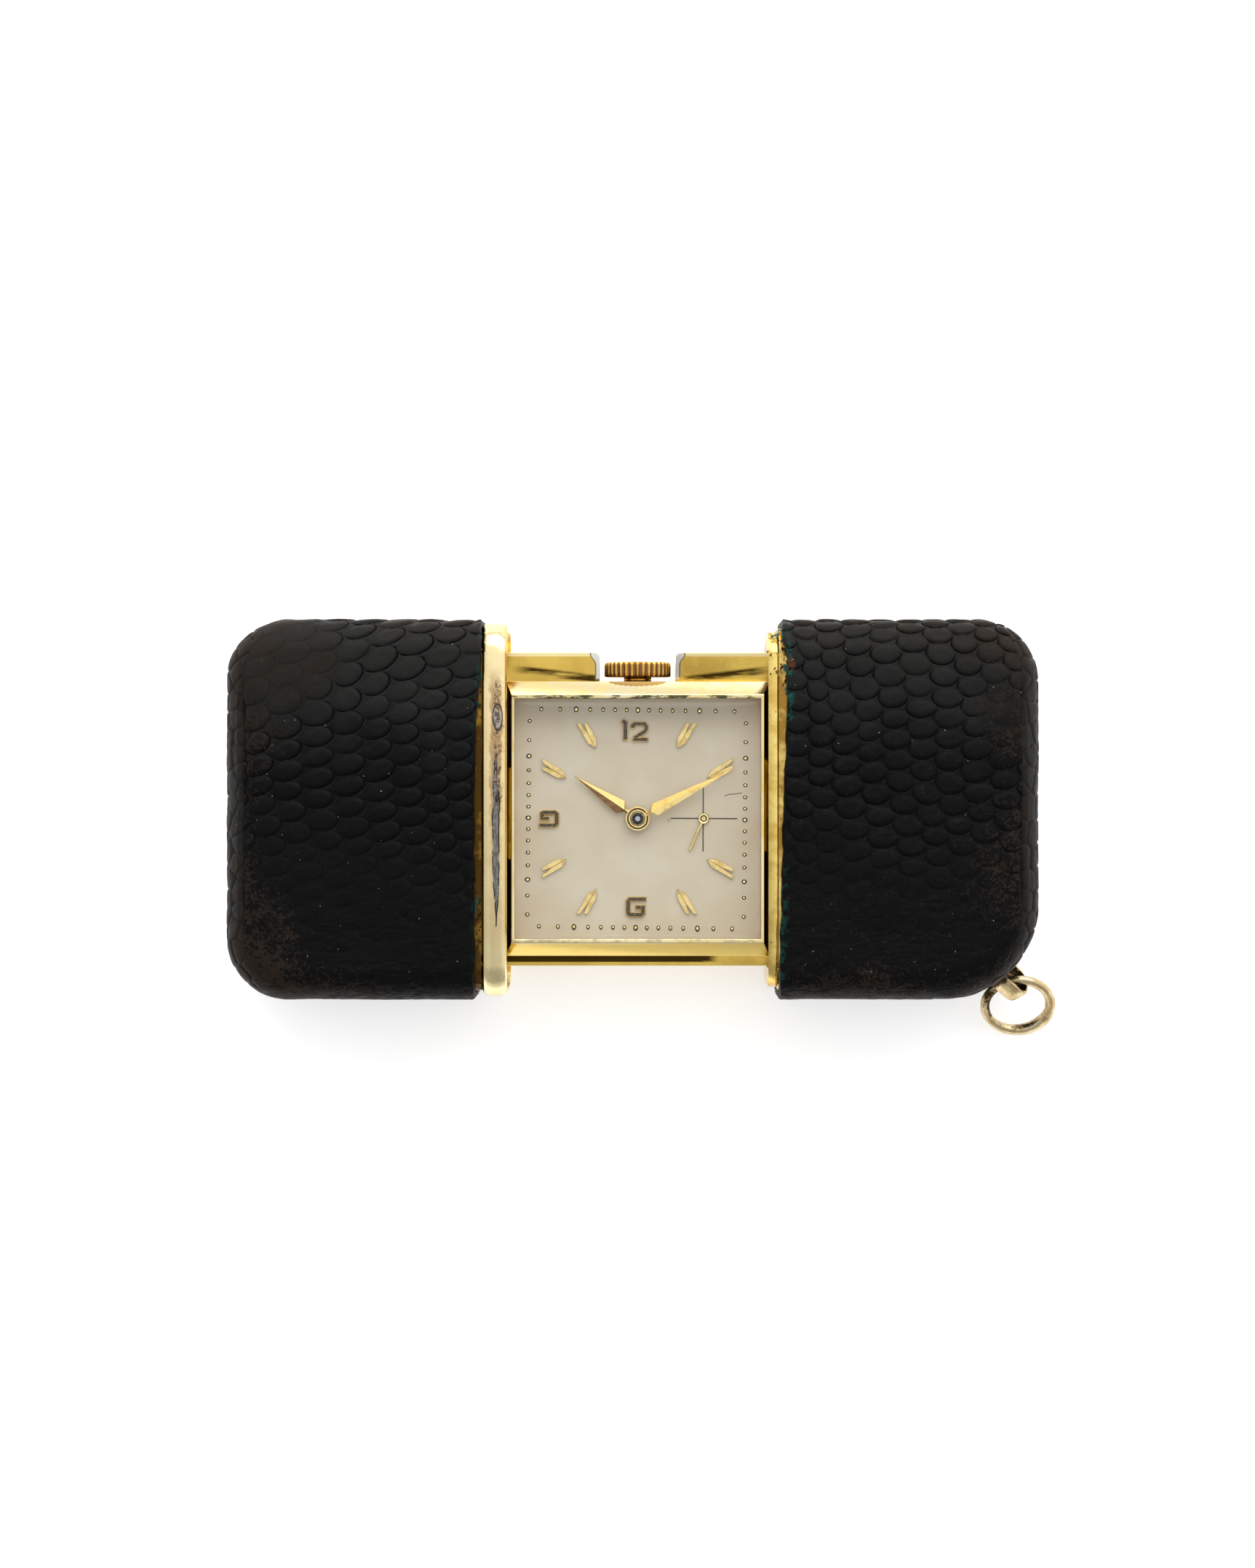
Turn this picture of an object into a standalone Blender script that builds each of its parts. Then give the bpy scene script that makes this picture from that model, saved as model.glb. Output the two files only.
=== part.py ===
# Travel clock: two leather covers slide apart over a spring-wound watch in a gilt carriage.
# Lying on its back: +X to the right of the dial, +Y to twelve, +Z to the reader.

import math

import bmesh
import bpy
from mathutils import Matrix, Vector

MM = 0.001

# Fits
FINE_GAP = 0.1 * MM
SEAT_GAP = 0.3 * MM
OVERRUN = 1.0 * MM
OVERLAP = 0.05 * MM
WELD = 0.000001
FLAT_ANGLE = math.radians(0.05)

# Covers
COVER_MARGIN = 2.93 * MM
COVER_ABOVE_BEZEL = 2.0 * MM
COVER_UNDERSIDE_Z = -1.7 * MM
LEFT_COVER_LENGTH = 24.29 * MM
RIGHT_COVER_LENGTH = 23.41 * MM
BEZEL_BEYOND_OPENING = 0.18 * MM
LEATHER = 0.8 * MM
LEATHER_GAP = 0.1 * MM
LINER = 0.5 * MM
PLAN_RADIUS = 5.4 * MM
RING_CORNER_RADIUS = 8.3 * MM
LONG_EDGE_RADIUS = 3.0 * MM
LEFT_LEATHER_SETBACK = 2.38 * MM
RIGHT_LEATHER_SETBACK = 1.48 * MM
NEST_DEPTH = 0.8 * MM

# Collars at the mouths of the covers
BEAD_WIDTH = 2.11 * MM
BEAD_INSET = 0.4 * MM
BEAD_CROWN = 0.35 * MM
BEAD_CORNER = 2.7 * MM
RIM_WIDTH = 0.78 * MM
RIM_INSET = 1.2 * MM
RIM_CORNER = 2.2 * MM
STOP_LUG_LENGTH = 3.28 * MM
STOP_LUG_CORNER_ROOM = 1.6 * MM

# Carriage
CARRIAGE_IN_COVER = 9.38 * MM
UPPER_RAIL = 2.57 * MM
LOWER_RAIL = 0.97 * MM
CARRIAGE_TOP_Z = 8.8 * MM
PLATE_THICKNESS = 1.4 * MM
SHOE_CORNER_ROOM = 1.0 * MM
PLATE_SHOE_INSET = 0.7 * MM
NOTCH_HALF = 3.3 * MM
NOTCH_CORNER = 0.4 * MM
CHANNEL_HALF = 4.9 * MM

# Racks and pinion
PINION_TEETH = 15
PINION_MODULE = 0.4 * MM
RACK_THICKNESS = 0.8 * MM
RACK_BODY = 1.0 * MM
RACK_REACH = 2.6 * MM
RACK_TAB = 0.6 * MM
RACK_TAB_HEIGHT = 4.3 * MM
POST_RADIUS = 0.8 * MM

# Strut
STRUT_HALF_WIDTH = 9.0 * MM
STRUT_HINGE_Y = 10.2 * MM
STRUT_FOOT_Y = -9.5 * MM
STRUT_BAR = 1.6 * MM
STRUT_THICKNESS = 0.65 * MM
STRUT_HINGE_Z = 0.6 * MM
STRUT_TUBE_RADIUS = 0.5 * MM
STRUT_CORNER = 1.2 * MM
STRUT_PIN_RADIUS = 0.22 * MM
STRUT_PIN_HALF = 10.2 * MM
GROOVE_DEPTH = 0.9 * MM

# Friction springs
SPRING_SETBACK = 1.78 * MM
SPRING_LENGTH = 6.4 * MM
SPRING_THICKNESS = 0.2 * MM
SPRING_WIDTH = 8.0 * MM

# Watch case
CASE_BORE_RADIUS = 10.5 * MM
CASE_WALL_X = 0.8 * MM
CASE_WALL_Y = 1.1 * MM
CASE_CORNER = 0.5 * MM
CASE_CLEARANCE = 0.2 * MM
WATCH_BACK = 0.4 * MM
WATCH_BACK_Z = 2.8 * MM
CASE_TOP_Z = 8.75 * MM
DIAL_SEAT_Z = 8.3 * MM
DIAL_SEAT_WALL_X = 0.5 * MM
DIAL_SEAT_WALL_Y = 0.95 * MM
DIAL_THICKNESS = 0.4 * MM
BEZEL_OVERHANG_X = 0.1 * MM
BEZEL_OVERHANG_Y = 0.24 * MM
BEZEL_WALL_Z = 10.2 * MM
BEZEL_TOP_Z = 11.3 * MM
BEZEL_FACET_X = 0.5 * MM
BEZEL_FACET_Y = 1.15 * MM
BEZEL_FRAME_X = 0.8 * MM
BEZEL_FRAME_Y = 1.49 * MM
BEZEL_POCKET_WALL_X = 0.5 * MM
BEZEL_POCKET_WALL_Y = 0.95 * MM
BEZEL_LIP = 0.4 * MM
CRYSTAL_THICKNESS = 0.4 * MM
CRYSTAL_TOP_Z = 11.5 * MM
CRYSTAL_ROUND = 0.45 * MM

# Dial furniture
SECONDS_X = 5.7 * MM
MARKER_TIP_RADIUS = 7.25 * MM
MARKER_OUTER_LINE = 8.5 * MM
MARKER_SHOULDER = 0.47 * MM
MARKER_HALF_WIDTH = 0.38 * MM
MARKER_FORK = 1.85 * MM
MARKER_PRONG = 0.16 * MM
MARKER_THICKNESS = 0.22 * MM
APPLIED_GAP = 0.05 * MM
NUMERAL_STROKE = 0.24 * MM
NINE_X = -7.78 * MM
NINE_SIZE = 1.7 * MM
SIX_Y = -7.7 * MM
SIX_SIZE = 1.75 * MM
TWELVE_Y = 7.6 * MM
TWELVE_HEIGHT = 1.9 * MM
ONE_X = -1.0 * MM
ONE_WIDTH = 0.32 * MM
ONE_FLAG = 0.28 * MM
TWO_X = 0.45 * MM
TWO_WIDTH = 1.2 * MM

# Hands
HOUR_HAND_SHORT = 0.59 * MM
HOUR_HAND_WIDTH = 1.28 * MM
HOUR_HAND_WIDEST = 1.8 * MM
HOUR_HAND_HUB = 1.06 * MM
HOUR_HAND_Z = 9.2 * MM
HOUR_HAND_TURN = math.radians(-304.0)
MINUTE_HAND_PAST = 0.97 * MM
MINUTE_HAND_WIDTH = 1.1 * MM
MINUTE_HAND_WIDEST = 1.7 * MM
MINUTE_HAND_HUB = 1.02 * MM
MINUTE_HAND_Z = 9.7 * MM
MINUTE_HAND_TURN = math.radians(-62.6)
HAND_THICKNESS = 0.25 * MM
HAND_NECK = 0.36 * MM
SECONDS_HAND_LENGTH = 3.0 * MM
SECONDS_HAND_WIDTH = 0.22 * MM
SECONDS_HAND_HUB = 0.5 * MM
SECONDS_HAND_Z = 8.93 * MM
SECONDS_HAND_THICKNESS = 0.15 * MM
SECONDS_HAND_TURN = math.radians(-204.0)

# Movement levels, from the back to the dial
RATCHET_Z = 3.35 * MM
RATCHET_THICKNESS = 0.25 * MM
BRIDGE_Z = 3.7 * MM
BRIDGE_THICKNESS = 0.7 * MM
LOW_WHEEL_Z = 4.5 * MM
WHEEL_THICKNESS = 0.25 * MM
BARREL_Z = 4.9 * MM
BARREL_TOOTH_Z = 6.2 * MM
BARREL_TOP_Z = 6.7 * MM
THIRD_WHEEL_Z = 5.4 * MM
HIGH_WHEEL_Z = 6.05 * MM
MAIN_PLATE_Z = 6.9 * MM
MAIN_PLATE_TOP_Z = 8.1 * MM
MOTION_RECESS_Z = 7.4 * MM
MINUTE_WHEEL_Z = 7.5 * MM
HOUR_WHEEL_Z = 7.85 * MM
MOTION_WHEEL_THICKNESS = 0.2 * MM
POST_TOP_Z = 10.1 * MM
MOVEMENT_CLEARANCE = 0.2 * MM
BRIDGE_INSET = 0.4 * MM
BARREL_BRIDGE_SPAN = (55.0, 200.0)
BARREL_BRIDGE_FEET = (66.0, 192.0)
TRAIN_BRIDGE_SPAN = (-47.0, 49.0)
TRAIN_BRIDGE_FEET = (42.0, -42.0)
BALANCE_COCK_SPAN = (208.0, 240.0)
BALANCE_COCK_FEET = (224.0,)
TONGUE_ANGLES = (80.0, 40.0, 0.0, -40.0, -80.0)
FOOT_RADIUS = 0.55 * MM
ARBOR_RADIUS = 0.2 * MM
PIVOT_GAP = 0.08 * MM
ARBOR_LOW_Z = 3.85 * MM
ARBOR_HIGH_Z = 7.3 * MM

# Going train: places of the arbors and teeth of the wheels
CENTRE_AT = (0.0, 0.0)
THIRD_AT = (3.26 * MM, -2.83 * MM)
FOURTH_AT = (SECONDS_X, 0.0)
BARREL_AT = (-4.4 * MM, 3.05 * MM)
BALANCE_AT = (0.5 * MM, -6.2 * MM)
MINUTE_WHEEL_AT = (-1.98 * MM, -1.36 * MM)
CROWN_WHEEL_AT = (0.0, 5.8 * MM)
BARREL_TEETH = 48
CENTRE_PINION_TEETH = 8
CENTRE_TEETH = 48
THIRD_PINION_TEETH = 6
THIRD_TEETH = 45
FOURTH_PINION_TEETH = 6
FOURTH_TEETH = 42
ESCAPE_PINION_TEETH = 6
ESCAPE_TEETH = 15
ESCAPE_MODULE = 0.12 * MM
ESCAPE_DIRECTION = math.radians(-62.0)
ESCAPE_RADIUS = 1.6 * MM
CANNON_TEETH = 8
MINUTE_WHEEL_TEETH = 24
MINUTE_PINION_TEETH = 6
HOUR_WHEEL_TEETH = 24
RATCHET_TEETH = 25
CROWN_WHEEL_TEETH = 20
ADDENDUM_SHARE = 0.75
DEDENDUM_SHARE = 1.15
TIP_SHARE = 0.1
RACK_ADDENDUM_SHARE = 0.7
RACK_DEDENDUM_SHARE = 1.1
RACK_TIP_SHARE = 0.16
RACK_ROOT_SHARE = 0.66

CANNON_INNER = 0.3 * MM
CANNON_OUTER = 0.44 * MM
CENTRE_ARBOR = 0.22 * MM
HOUR_TUBE_INNER = 0.52 * MM
HOUR_TUBE_OUTER = 0.74 * MM
DIAL_HOLE = 0.95 * MM
BARREL_WALL = 0.3 * MM
BARREL_ARBOR = 0.6 * MM
RATCHET_SQUARE = 0.4 * MM
SPRING_TURNS = 4
SPRING_STRIP = 0.12 * MM
PALLET_REACH = 2.5 * MM
PALLET_DIRECTION = math.radians(-102.0)
PALLET_STAFF_ROOM = 0.6 * MM
PALLET_ARM = 1.3 * MM
PALLET_WIDTH = 0.36 * MM
BALANCE_RADIUS = 3.85 * MM
BALANCE_RIM = 0.45 * MM
BALANCE_SPOKE = 0.4 * MM
HAIRSPRING_TURNS = 3
HAIRSPRING_INNER = 0.4 * MM
HAIRSPRING_OUTER = 1.9 * MM
HAIRSPRING_STRIP = 0.07 * MM
HAIRSPRING_Z = 4.95 * MM
HAIRSPRING_HEIGHT = 0.2 * MM

# Winding and setting
STEM_Z = 5.5 * MM
STEM_RADIUS = 0.35 * MM
STEM_END_Y = 6.2 * MM
CLUTCH_RADIUS = 0.85 * MM
CLUTCH_Y = 7.3 * MM
CLUTCH_LENGTH = 0.9 * MM
CROWN_RADIUS = 2.8 * MM
CROWN_GAP = 0.7 * MM
CROWN_THICKNESS = 1.37 * MM
CROWN_KNURLS = 30
CROWN_KNURL = 0.16 * MM
CROWN_DOME = 0.45 * MM
CROWN_DOME_ROWS = 4
CROWN_NECK = 1.2 * MM
CROWN_NECK_GAP = 0.45 * MM

# Bail and chain ring
RING_RADIUS = 2.9 * MM
RING_WIRE = 0.44 * MM
RING_THICK_SHARE = 0.25
RING_FROM_END = 1.76 * MM
RING_FROM_SIDE = 1.34 * MM
RING_ABOVE_BACK = 4.03 * MM
RING_TILT = math.radians(38.0)
RING_PHASE = math.radians(15.0)
BAIL_FROM_END = 1.51 * MM
BAIL_FROM_SIDE = 1.08 * MM
BAIL_ABOVE_BACK = 3.8 * MM
BAIL_DIRECTION = (0.70, -0.61, -0.37)
BAIL_NORMAL = (0.713, 0.632, 0.306)
BAIL_BEND = 1.15 * MM
BAIL_STRAP = 0.35 * MM
BAIL_WIDTH = 1.5 * MM
BAIL_LENGTH = 2.3 * MM

# Worked out from the sizes above
CASE_HALF_X = CASE_BORE_RADIUS + CASE_WALL_X
CASE_HALF_Y = CASE_BORE_RADIUS + CASE_WALL_Y
DIAL_HALF_X = CASE_HALF_X - DIAL_SEAT_WALL_X
DIAL_HALF_Y = CASE_HALF_Y - DIAL_SEAT_WALL_Y
BEZEL_HALF_X = CASE_HALF_X + BEZEL_OVERHANG_X
BEZEL_HALF_Y = CASE_HALF_Y + BEZEL_OVERHANG_Y
OPENING_HALF = BEZEL_HALF_X - BEZEL_BEYOND_OPENING
HOUR_HAND_LENGTH = MARKER_TIP_RADIUS - HOUR_HAND_SHORT
MINUTE_HAND_LENGTH = MARKER_OUTER_LINE + MINUTE_HAND_PAST
BEZEL_OPENING_X = BEZEL_HALF_X - BEZEL_FRAME_X
BEZEL_OPENING_Y = BEZEL_HALF_Y - BEZEL_FRAME_Y
PLATE_RADIUS = CASE_BORE_RADIUS - MOVEMENT_CLEARANCE
BRIDGE_RADIUS = PLATE_RADIUS - BRIDGE_INSET
RAIL_INNER_Y = CASE_HALF_Y + CASE_CLEARANCE
FRAME_INNER_X = CASE_HALF_X + CASE_CLEARANCE
CARRIAGE_HALF_HEIGHT = RAIL_INNER_Y + (UPPER_RAIL + LOWER_RAIL) / 2
COVER_CENTRE_Y = (UPPER_RAIL - LOWER_RAIL) / 2
CROWN_Y = CASE_HALF_Y + CROWN_GAP
CROWN_NECK_START = CASE_HALF_Y + CROWN_NECK_GAP
HALF_COVER = CARRIAGE_HALF_HEIGHT + COVER_MARGIN
COVER_THICKNESS = BEZEL_TOP_Z + COVER_ABOVE_BEZEL - COVER_UNDERSIDE_Z
COVER_Z = COVER_UNDERSIDE_Z + COVER_THICKNESS / 2
LINER_STEP = LEATHER + LEATHER_GAP
CAVITY_STEP = LINER_STEP + LINER
CAVITY_HALF_Y = HALF_COVER - CAVITY_STEP
CAVITY_HALF_Z = COVER_THICKNESS / 2 - CAVITY_STEP
LEFT_END = -OPENING_HALF - LEFT_COVER_LENGTH
RIGHT_END = OPENING_HALF + RIGHT_COVER_LENGTH
TRAVEL = OPENING_HALF + NEST_DEPTH / 2
STOP_LUG_END = OPENING_HALF + STOP_LUG_LENGTH
CARRIAGE_HALF_LENGTH = OPENING_HALF + CARRIAGE_IN_COVER
SHOE_HALF_HEIGHT = CAVITY_HALF_Y - SEAT_GAP / 2
SHOE_CORNER = PLAN_RADIUS - CAVITY_STEP - SHOE_CORNER_ROOM
RING_SHOE_CORNER = RING_CORNER_RADIUS - CAVITY_STEP - SHOE_CORNER_ROOM
COLLAR_HALF_Y = CARRIAGE_HALF_HEIGHT + SEAT_GAP / 2
COLLAR_HALF_Z = CAVITY_HALF_Z - SEAT_GAP / 2
SPRING_START_X = OPENING_HALF + SPRING_SETBACK
SPRING_END_X = SPRING_START_X + SPRING_LENGTH
FRAME_Z = PLATE_THICKNESS + FINE_GAP
RACK_Z = PLATE_THICKNESS + SEAT_GAP
PINION_PITCH = PINION_MODULE * PINION_TEETH / 2
RING_SIDE_Y = COVER_CENTRE_Y - HALF_COVER
RING_AT = (RIGHT_END - RING_FROM_END, RING_SIDE_Y + RING_FROM_SIDE, COVER_UNDERSIDE_Z + RING_ABOVE_BACK)
BAIL_AT = (RIGHT_END - BAIL_FROM_END, RING_SIDE_Y + BAIL_FROM_SIDE, COVER_UNDERSIDE_Z + BAIL_ABOVE_BACK)


def material(name, colour, roughness, metallic):
    made = bpy.data.materials.new(name)
    made.use_nodes = True
    shader = made.node_tree.nodes["Principled BSDF"]
    shader.inputs["Base Color"].default_value = (*colour, 1.0)
    shader.inputs["Roughness"].default_value = roughness
    shader.inputs["Metallic"].default_value = metallic
    return made


def collection(name):
    made = bpy.data.collections.new(name)
    bpy.context.scene.collection.children.link(made)
    return made


for old in list(bpy.data.objects):
    bpy.data.objects.remove(old, do_unlink=True)

CLOCK = collection("travel_clock")
CUTTERS = collection("cutters")

GILT = material("gilt_brass", (0.83, 0.62, 0.25), 0.25, 1.0)
BRASS = material("brass", (0.78, 0.60, 0.28), 0.35, 1.0)
NICKEL = material("nickel", (0.66, 0.64, 0.60), 0.35, 1.0)
STEEL = material("steel", (0.56, 0.57, 0.58), 0.3, 1.0)
BLUED = material("blued_steel", (0.08, 0.11, 0.25), 0.3, 1.0)
LEATHER_BLACK = material("black_leather", (0.02, 0.02, 0.022), 0.55, 0.0)
DIAL_CREAM = material("dial_cream", (0.80, 0.76, 0.68), 0.5, 0.0)
CRYSTAL_CLEAR = material("crystal", (0.95, 0.95, 0.93), 0.05, 0.0)


def from_mesh_builder(name, builder, surface):
    """Keep a built mesh as one object of the clock."""
    bmesh.ops.recalc_face_normals(builder, faces=builder.faces)
    closed = not any(edge.is_boundary for edge in builder.edges)
    if closed and builder.calc_volume(signed=True) < 0:
        bmesh.ops.reverse_faces(builder, faces=builder.faces)
    mesh = bpy.data.meshes.new(name)
    builder.to_mesh(mesh)
    builder.free()
    mesh.materials.append(surface)
    made = bpy.data.objects.new(name, mesh)
    CLOCK.objects.link(made)
    return made


def box(name, low, high, surface):
    builder = bmesh.new()
    bmesh.ops.create_cube(builder, size=1.0)
    size = Vector(high) - Vector(low)
    middle = (Vector(high) + Vector(low)) / 2
    bmesh.ops.scale(builder, vec=size, verts=builder.verts)
    bmesh.ops.translate(builder, vec=middle, verts=builder.verts)
    return from_mesh_builder(name, builder, surface)


def rod(name, radius, start, end, surface, sides=16):
    """A round bar between two points."""
    start, end = Vector(start), Vector(end)
    builder = bmesh.new()
    bmesh.ops.create_cone(builder, cap_ends=True, segments=sides, radius1=radius, radius2=radius,
                          depth=(end - start).length)
    turn = (end - start).to_track_quat("Z", "Y").to_matrix().to_4x4()
    bmesh.ops.transform(builder, matrix=Matrix.Translation((start + end) / 2) @ turn, verts=builder.verts)
    made = from_mesh_builder(name, builder, surface)
    smooth(made)
    return made


def smooth(piece):
    piece.data.shade_smooth()
    piece.data.set_sharp_from_angle(angle=math.radians(35.0))


def as_mesh(curve_object, surface):
    """The mesh of a curve, with its loose caps welded on."""
    mesh = bpy.data.meshes.new_from_object(curve_object.evaluated_get(bpy.context.evaluated_depsgraph_get()))
    builder = bmesh.new()
    builder.from_mesh(mesh)
    bmesh.ops.remove_doubles(builder, verts=builder.verts, dist=WELD)
    bmesh.ops.transform(builder, matrix=curve_object.matrix_world, verts=builder.verts)
    name = curve_object.name
    bpy.data.objects.remove(curve_object, do_unlink=True)
    bpy.data.meshes.remove(mesh)
    return from_mesh_builder(name, builder, surface)


def plate(name, loops, low, high, surface):
    """Flat outlines in plan, filled and raised from one height to another."""
    curve = bpy.data.curves.new(name, "CURVE")
    curve.dimensions = "2D"
    curve.fill_mode = "BOTH"
    curve.extrude = (high - low) / 2
    for loop in loops:
        spline = curve.splines.new("POLY")
        spline.points.add(len(loop) - 1)
        spline.use_cyclic_u = True
        for point, place in zip(spline.points, loop):
            point.co = (place[0], place[1], 0.0, 1.0)
    guide = bpy.data.objects.new(name, curve)
    CLOCK.objects.link(guide)
    guide.location.z = (low + high) / 2
    bpy.context.view_layer.update()
    return as_mesh(guide, surface)


def hide_tool(tool):
    for holder in list(tool.users_collection):
        holder.objects.unlink(tool)
    CUTTERS.objects.link(tool)
    tool.hide_render = True
    tool.display_type = "WIRE"


def combine(target, tool, operation, solver="EXACT"):
    """Put a Boolean on the target and keep its result as the target's mesh."""
    step = target.modifiers.new(operation.lower(), "BOOLEAN")
    step.operation = operation
    step.solver = solver
    step.object = tool
    bpy.context.view_layer.update()
    result = bpy.data.meshes.new_from_object(target.evaluated_get(bpy.context.evaluated_depsgraph_get()))
    builder = bmesh.new()
    builder.from_mesh(result)
    bmesh.ops.dissolve_limit(builder, angle_limit=FLAT_ANGLE, verts=builder.verts, edges=builder.edges)
    builder.to_mesh(result)
    builder.free()
    target.modifiers.clear()
    target.data = result
    hide_tool(tool)
    return target


def cut(target, tool):
    return combine(target, tool, "DIFFERENCE")


def join(target, tool, solver="EXACT"):
    return combine(target, tool, "UNION", solver)


def polar(radius, angle, centre=(0.0, 0.0)):
    return (centre[0] + radius * math.cos(angle), centre[1] + radius * math.sin(angle))


def circle(radius, centre=(0.0, 0.0), sides=24, turn=0.0):
    return [polar(radius, turn + math.tau * index / sides, centre) for index in range(sides)]


def filleted(corners, steps=4):
    """An outline whose corners (x, y, radius) are rounded by arcs."""
    points = []
    count = len(corners)
    for index, (x, y, radius) in enumerate(corners):
        here = Vector((x, y))
        before = (Vector(corners[index - 1][:2]) - here).normalized()
        after = (Vector(corners[(index + 1) % count][:2]) - here).normalized()
        if radius == 0.0:
            points.append((x, y))
            continue
        half = before.angle(after) / 2
        reach = radius / math.tan(half)
        centre = here + (before + after).normalized() * radius / math.sin(half)
        first = here + before * reach - centre
        sweep = first.angle_signed(here + after * reach - centre)
        for step in range(steps + 1):
            points.append(tuple(centre + Matrix.Rotation(-sweep * step / steps, 2) @ first))
    return points


def rounded_box(half_x, half_y, radius, centre=(0.0, 0.0), steps=4):
    x, y = centre
    return filleted([(x + half_x, y + half_y, radius), (x - half_x, y + half_y, radius),
                     (x - half_x, y - half_y, radius), (x + half_x, y - half_y, radius)], steps)


def mesh_turns(centre_a, centre_b, teeth_b):
    """Turns that set a tooth of wheel a into a gap of wheel b."""
    line = math.atan2(centre_b[1] - centre_a[1], centre_b[0] - centre_a[0])
    return line, line + math.pi + math.pi / teeth_b


def spacing(centre_a, centre_b):
    return math.hypot(centre_b[0] - centre_a[0], centre_b[1] - centre_a[1])


def module_between(centre_a, centre_b, teeth_a, teeth_b):
    return 2 * spacing(centre_a, centre_b) / (teeth_a + teeth_b)


def gear_outline(teeth, module, centre, turn):
    """Pointed watch teeth, three points a tooth."""
    tip = module * (teeth / 2 + ADDENDUM_SHARE)
    root = module * (teeth / 2 - DEDENDUM_SHARE)
    step = math.tau / teeth
    points = []
    for tooth in range(teeth):
        middle = turn + step * tooth
        points.append(polar(root, middle - step / 2, centre))
        points.append(polar(tip, middle - step * TIP_SHARE, centre))
        points.append(polar(tip, middle + step * TIP_SHARE, centre))
    return points


def cover_shell(name, low, high, mouth, radii, edge_radius, wall, surface):
    """A box open at its mouth (-1 or +1 along X), rounded at the closed end and the long edges."""
    builder = bmesh.new()
    bmesh.ops.create_cube(builder, size=1.0)
    bmesh.ops.scale(builder, vec=Vector(high) - Vector(low), verts=builder.verts)
    bmesh.ops.translate(builder, vec=(Vector(high) + Vector(low)) / 2, verts=builder.verts)
    opening = [face for face in builder.faces if face.normal.x * mouth > 0.5]
    bmesh.ops.delete(builder, geom=opening, context="FACES_ONLY")
    middle_y = (high[1] + low[1]) / 2
    for side, radius in zip((-1, 1), radii):
        corner = [edge for edge in builder.edges if not edge.is_boundary
                  and abs(edge.verts[0].co.z - edge.verts[1].co.z) > edge_radius
                  and all((vert.co.y - middle_y) * side > 0 for vert in edge.verts)]
        bmesh.ops.bevel(builder, geom=corner, offset=radius, segments=5, profile=0.5, affect="EDGES")
    rim = [edge for edge in builder.edges if not edge.is_boundary
           and abs(edge.verts[0].co.z - edge.verts[1].co.z) < WELD]
    bmesh.ops.bevel(builder, geom=rim, offset=edge_radius, segments=4, profile=0.5, affect="EDGES")
    made = from_mesh_builder(name, builder, surface)
    solid = made.modifiers.new("wall", "SOLIDIFY")
    solid.thickness = wall
    solid.offset = -1.0
    solid.use_even_offset = True
    smooth(made)
    return made


def cover(side, end_x, mouth, radii, leather_setback, mouth_x, collar_back):
    """Leather skin and metal liner of one cover; mouth is the side that is open."""
    inner_x = mouth_x - mouth * leather_setback
    low = (min(end_x, inner_x), COVER_CENTRE_Y - HALF_COVER, COVER_UNDERSIDE_Z)
    high = (max(end_x, inner_x), COVER_CENTRE_Y + HALF_COVER, COVER_UNDERSIDE_Z + COVER_THICKNESS)
    cover_shell(side + "_leather", low, high, mouth, radii, LONG_EDGE_RADIUS, LEATHER, LEATHER_BLACK)
    liner_end = end_x + mouth * LINER_STEP
    low = (min(liner_end, collar_back), low[1] + LINER_STEP, low[2] + LINER_STEP)
    high = (max(liner_end, collar_back), high[1] - LINER_STEP, high[2] - LINER_STEP)
    inner_radii = [radius - LINER_STEP for radius in radii]
    cover_shell(side + "_liner", low, high, mouth, inner_radii, LONG_EDGE_RADIUS - LINER_STEP, LINER, GILT)


def across_plate(name, loops, x_low, x_high, surface):
    """A plate whose outline lies across the covers: outline x is world Y, outline y is world Z."""
    made = plate(name, loops, x_low, x_high, surface)
    turn = Matrix(((0, 0, 1, 0), (1, 0, 0, 0), (0, 1, 0, 0), (0, 0, 0, 1)))
    made.data.transform(turn)
    return made


def collar_opening(name, x_low, x_high):
    loop = rounded_box(COLLAR_HALF_Y, COLLAR_HALF_Z, SEAT_GAP, (COVER_CENTRE_Y, COVER_Z), 1)
    return across_plate(name, [loop], x_low - OVERRUN, x_high + OVERRUN, GILT)


def add_stop_lugs(collar, collar_back, mouth):
    """Lugs inside the liner, above and below, that the carriage's shoes stop against."""
    lug_end = -mouth * STOP_LUG_END
    start = collar_back + mouth * OVERLAP
    for side in (-1, 1):
        near = COVER_CENTRE_Y + side * COLLAR_HALF_Y
        far = COVER_CENTRE_Y + side * (CAVITY_HALF_Y - FINE_GAP)
        reach_z = COLLAR_HALF_Z - STOP_LUG_CORNER_ROOM
        low = (min(start, lug_end), min(near, far), COVER_Z - reach_z)
        high = (max(start, lug_end), max(near, far), COVER_Z + reach_z)
        join(collar, box("stop_lug", low, high, GILT))


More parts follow.
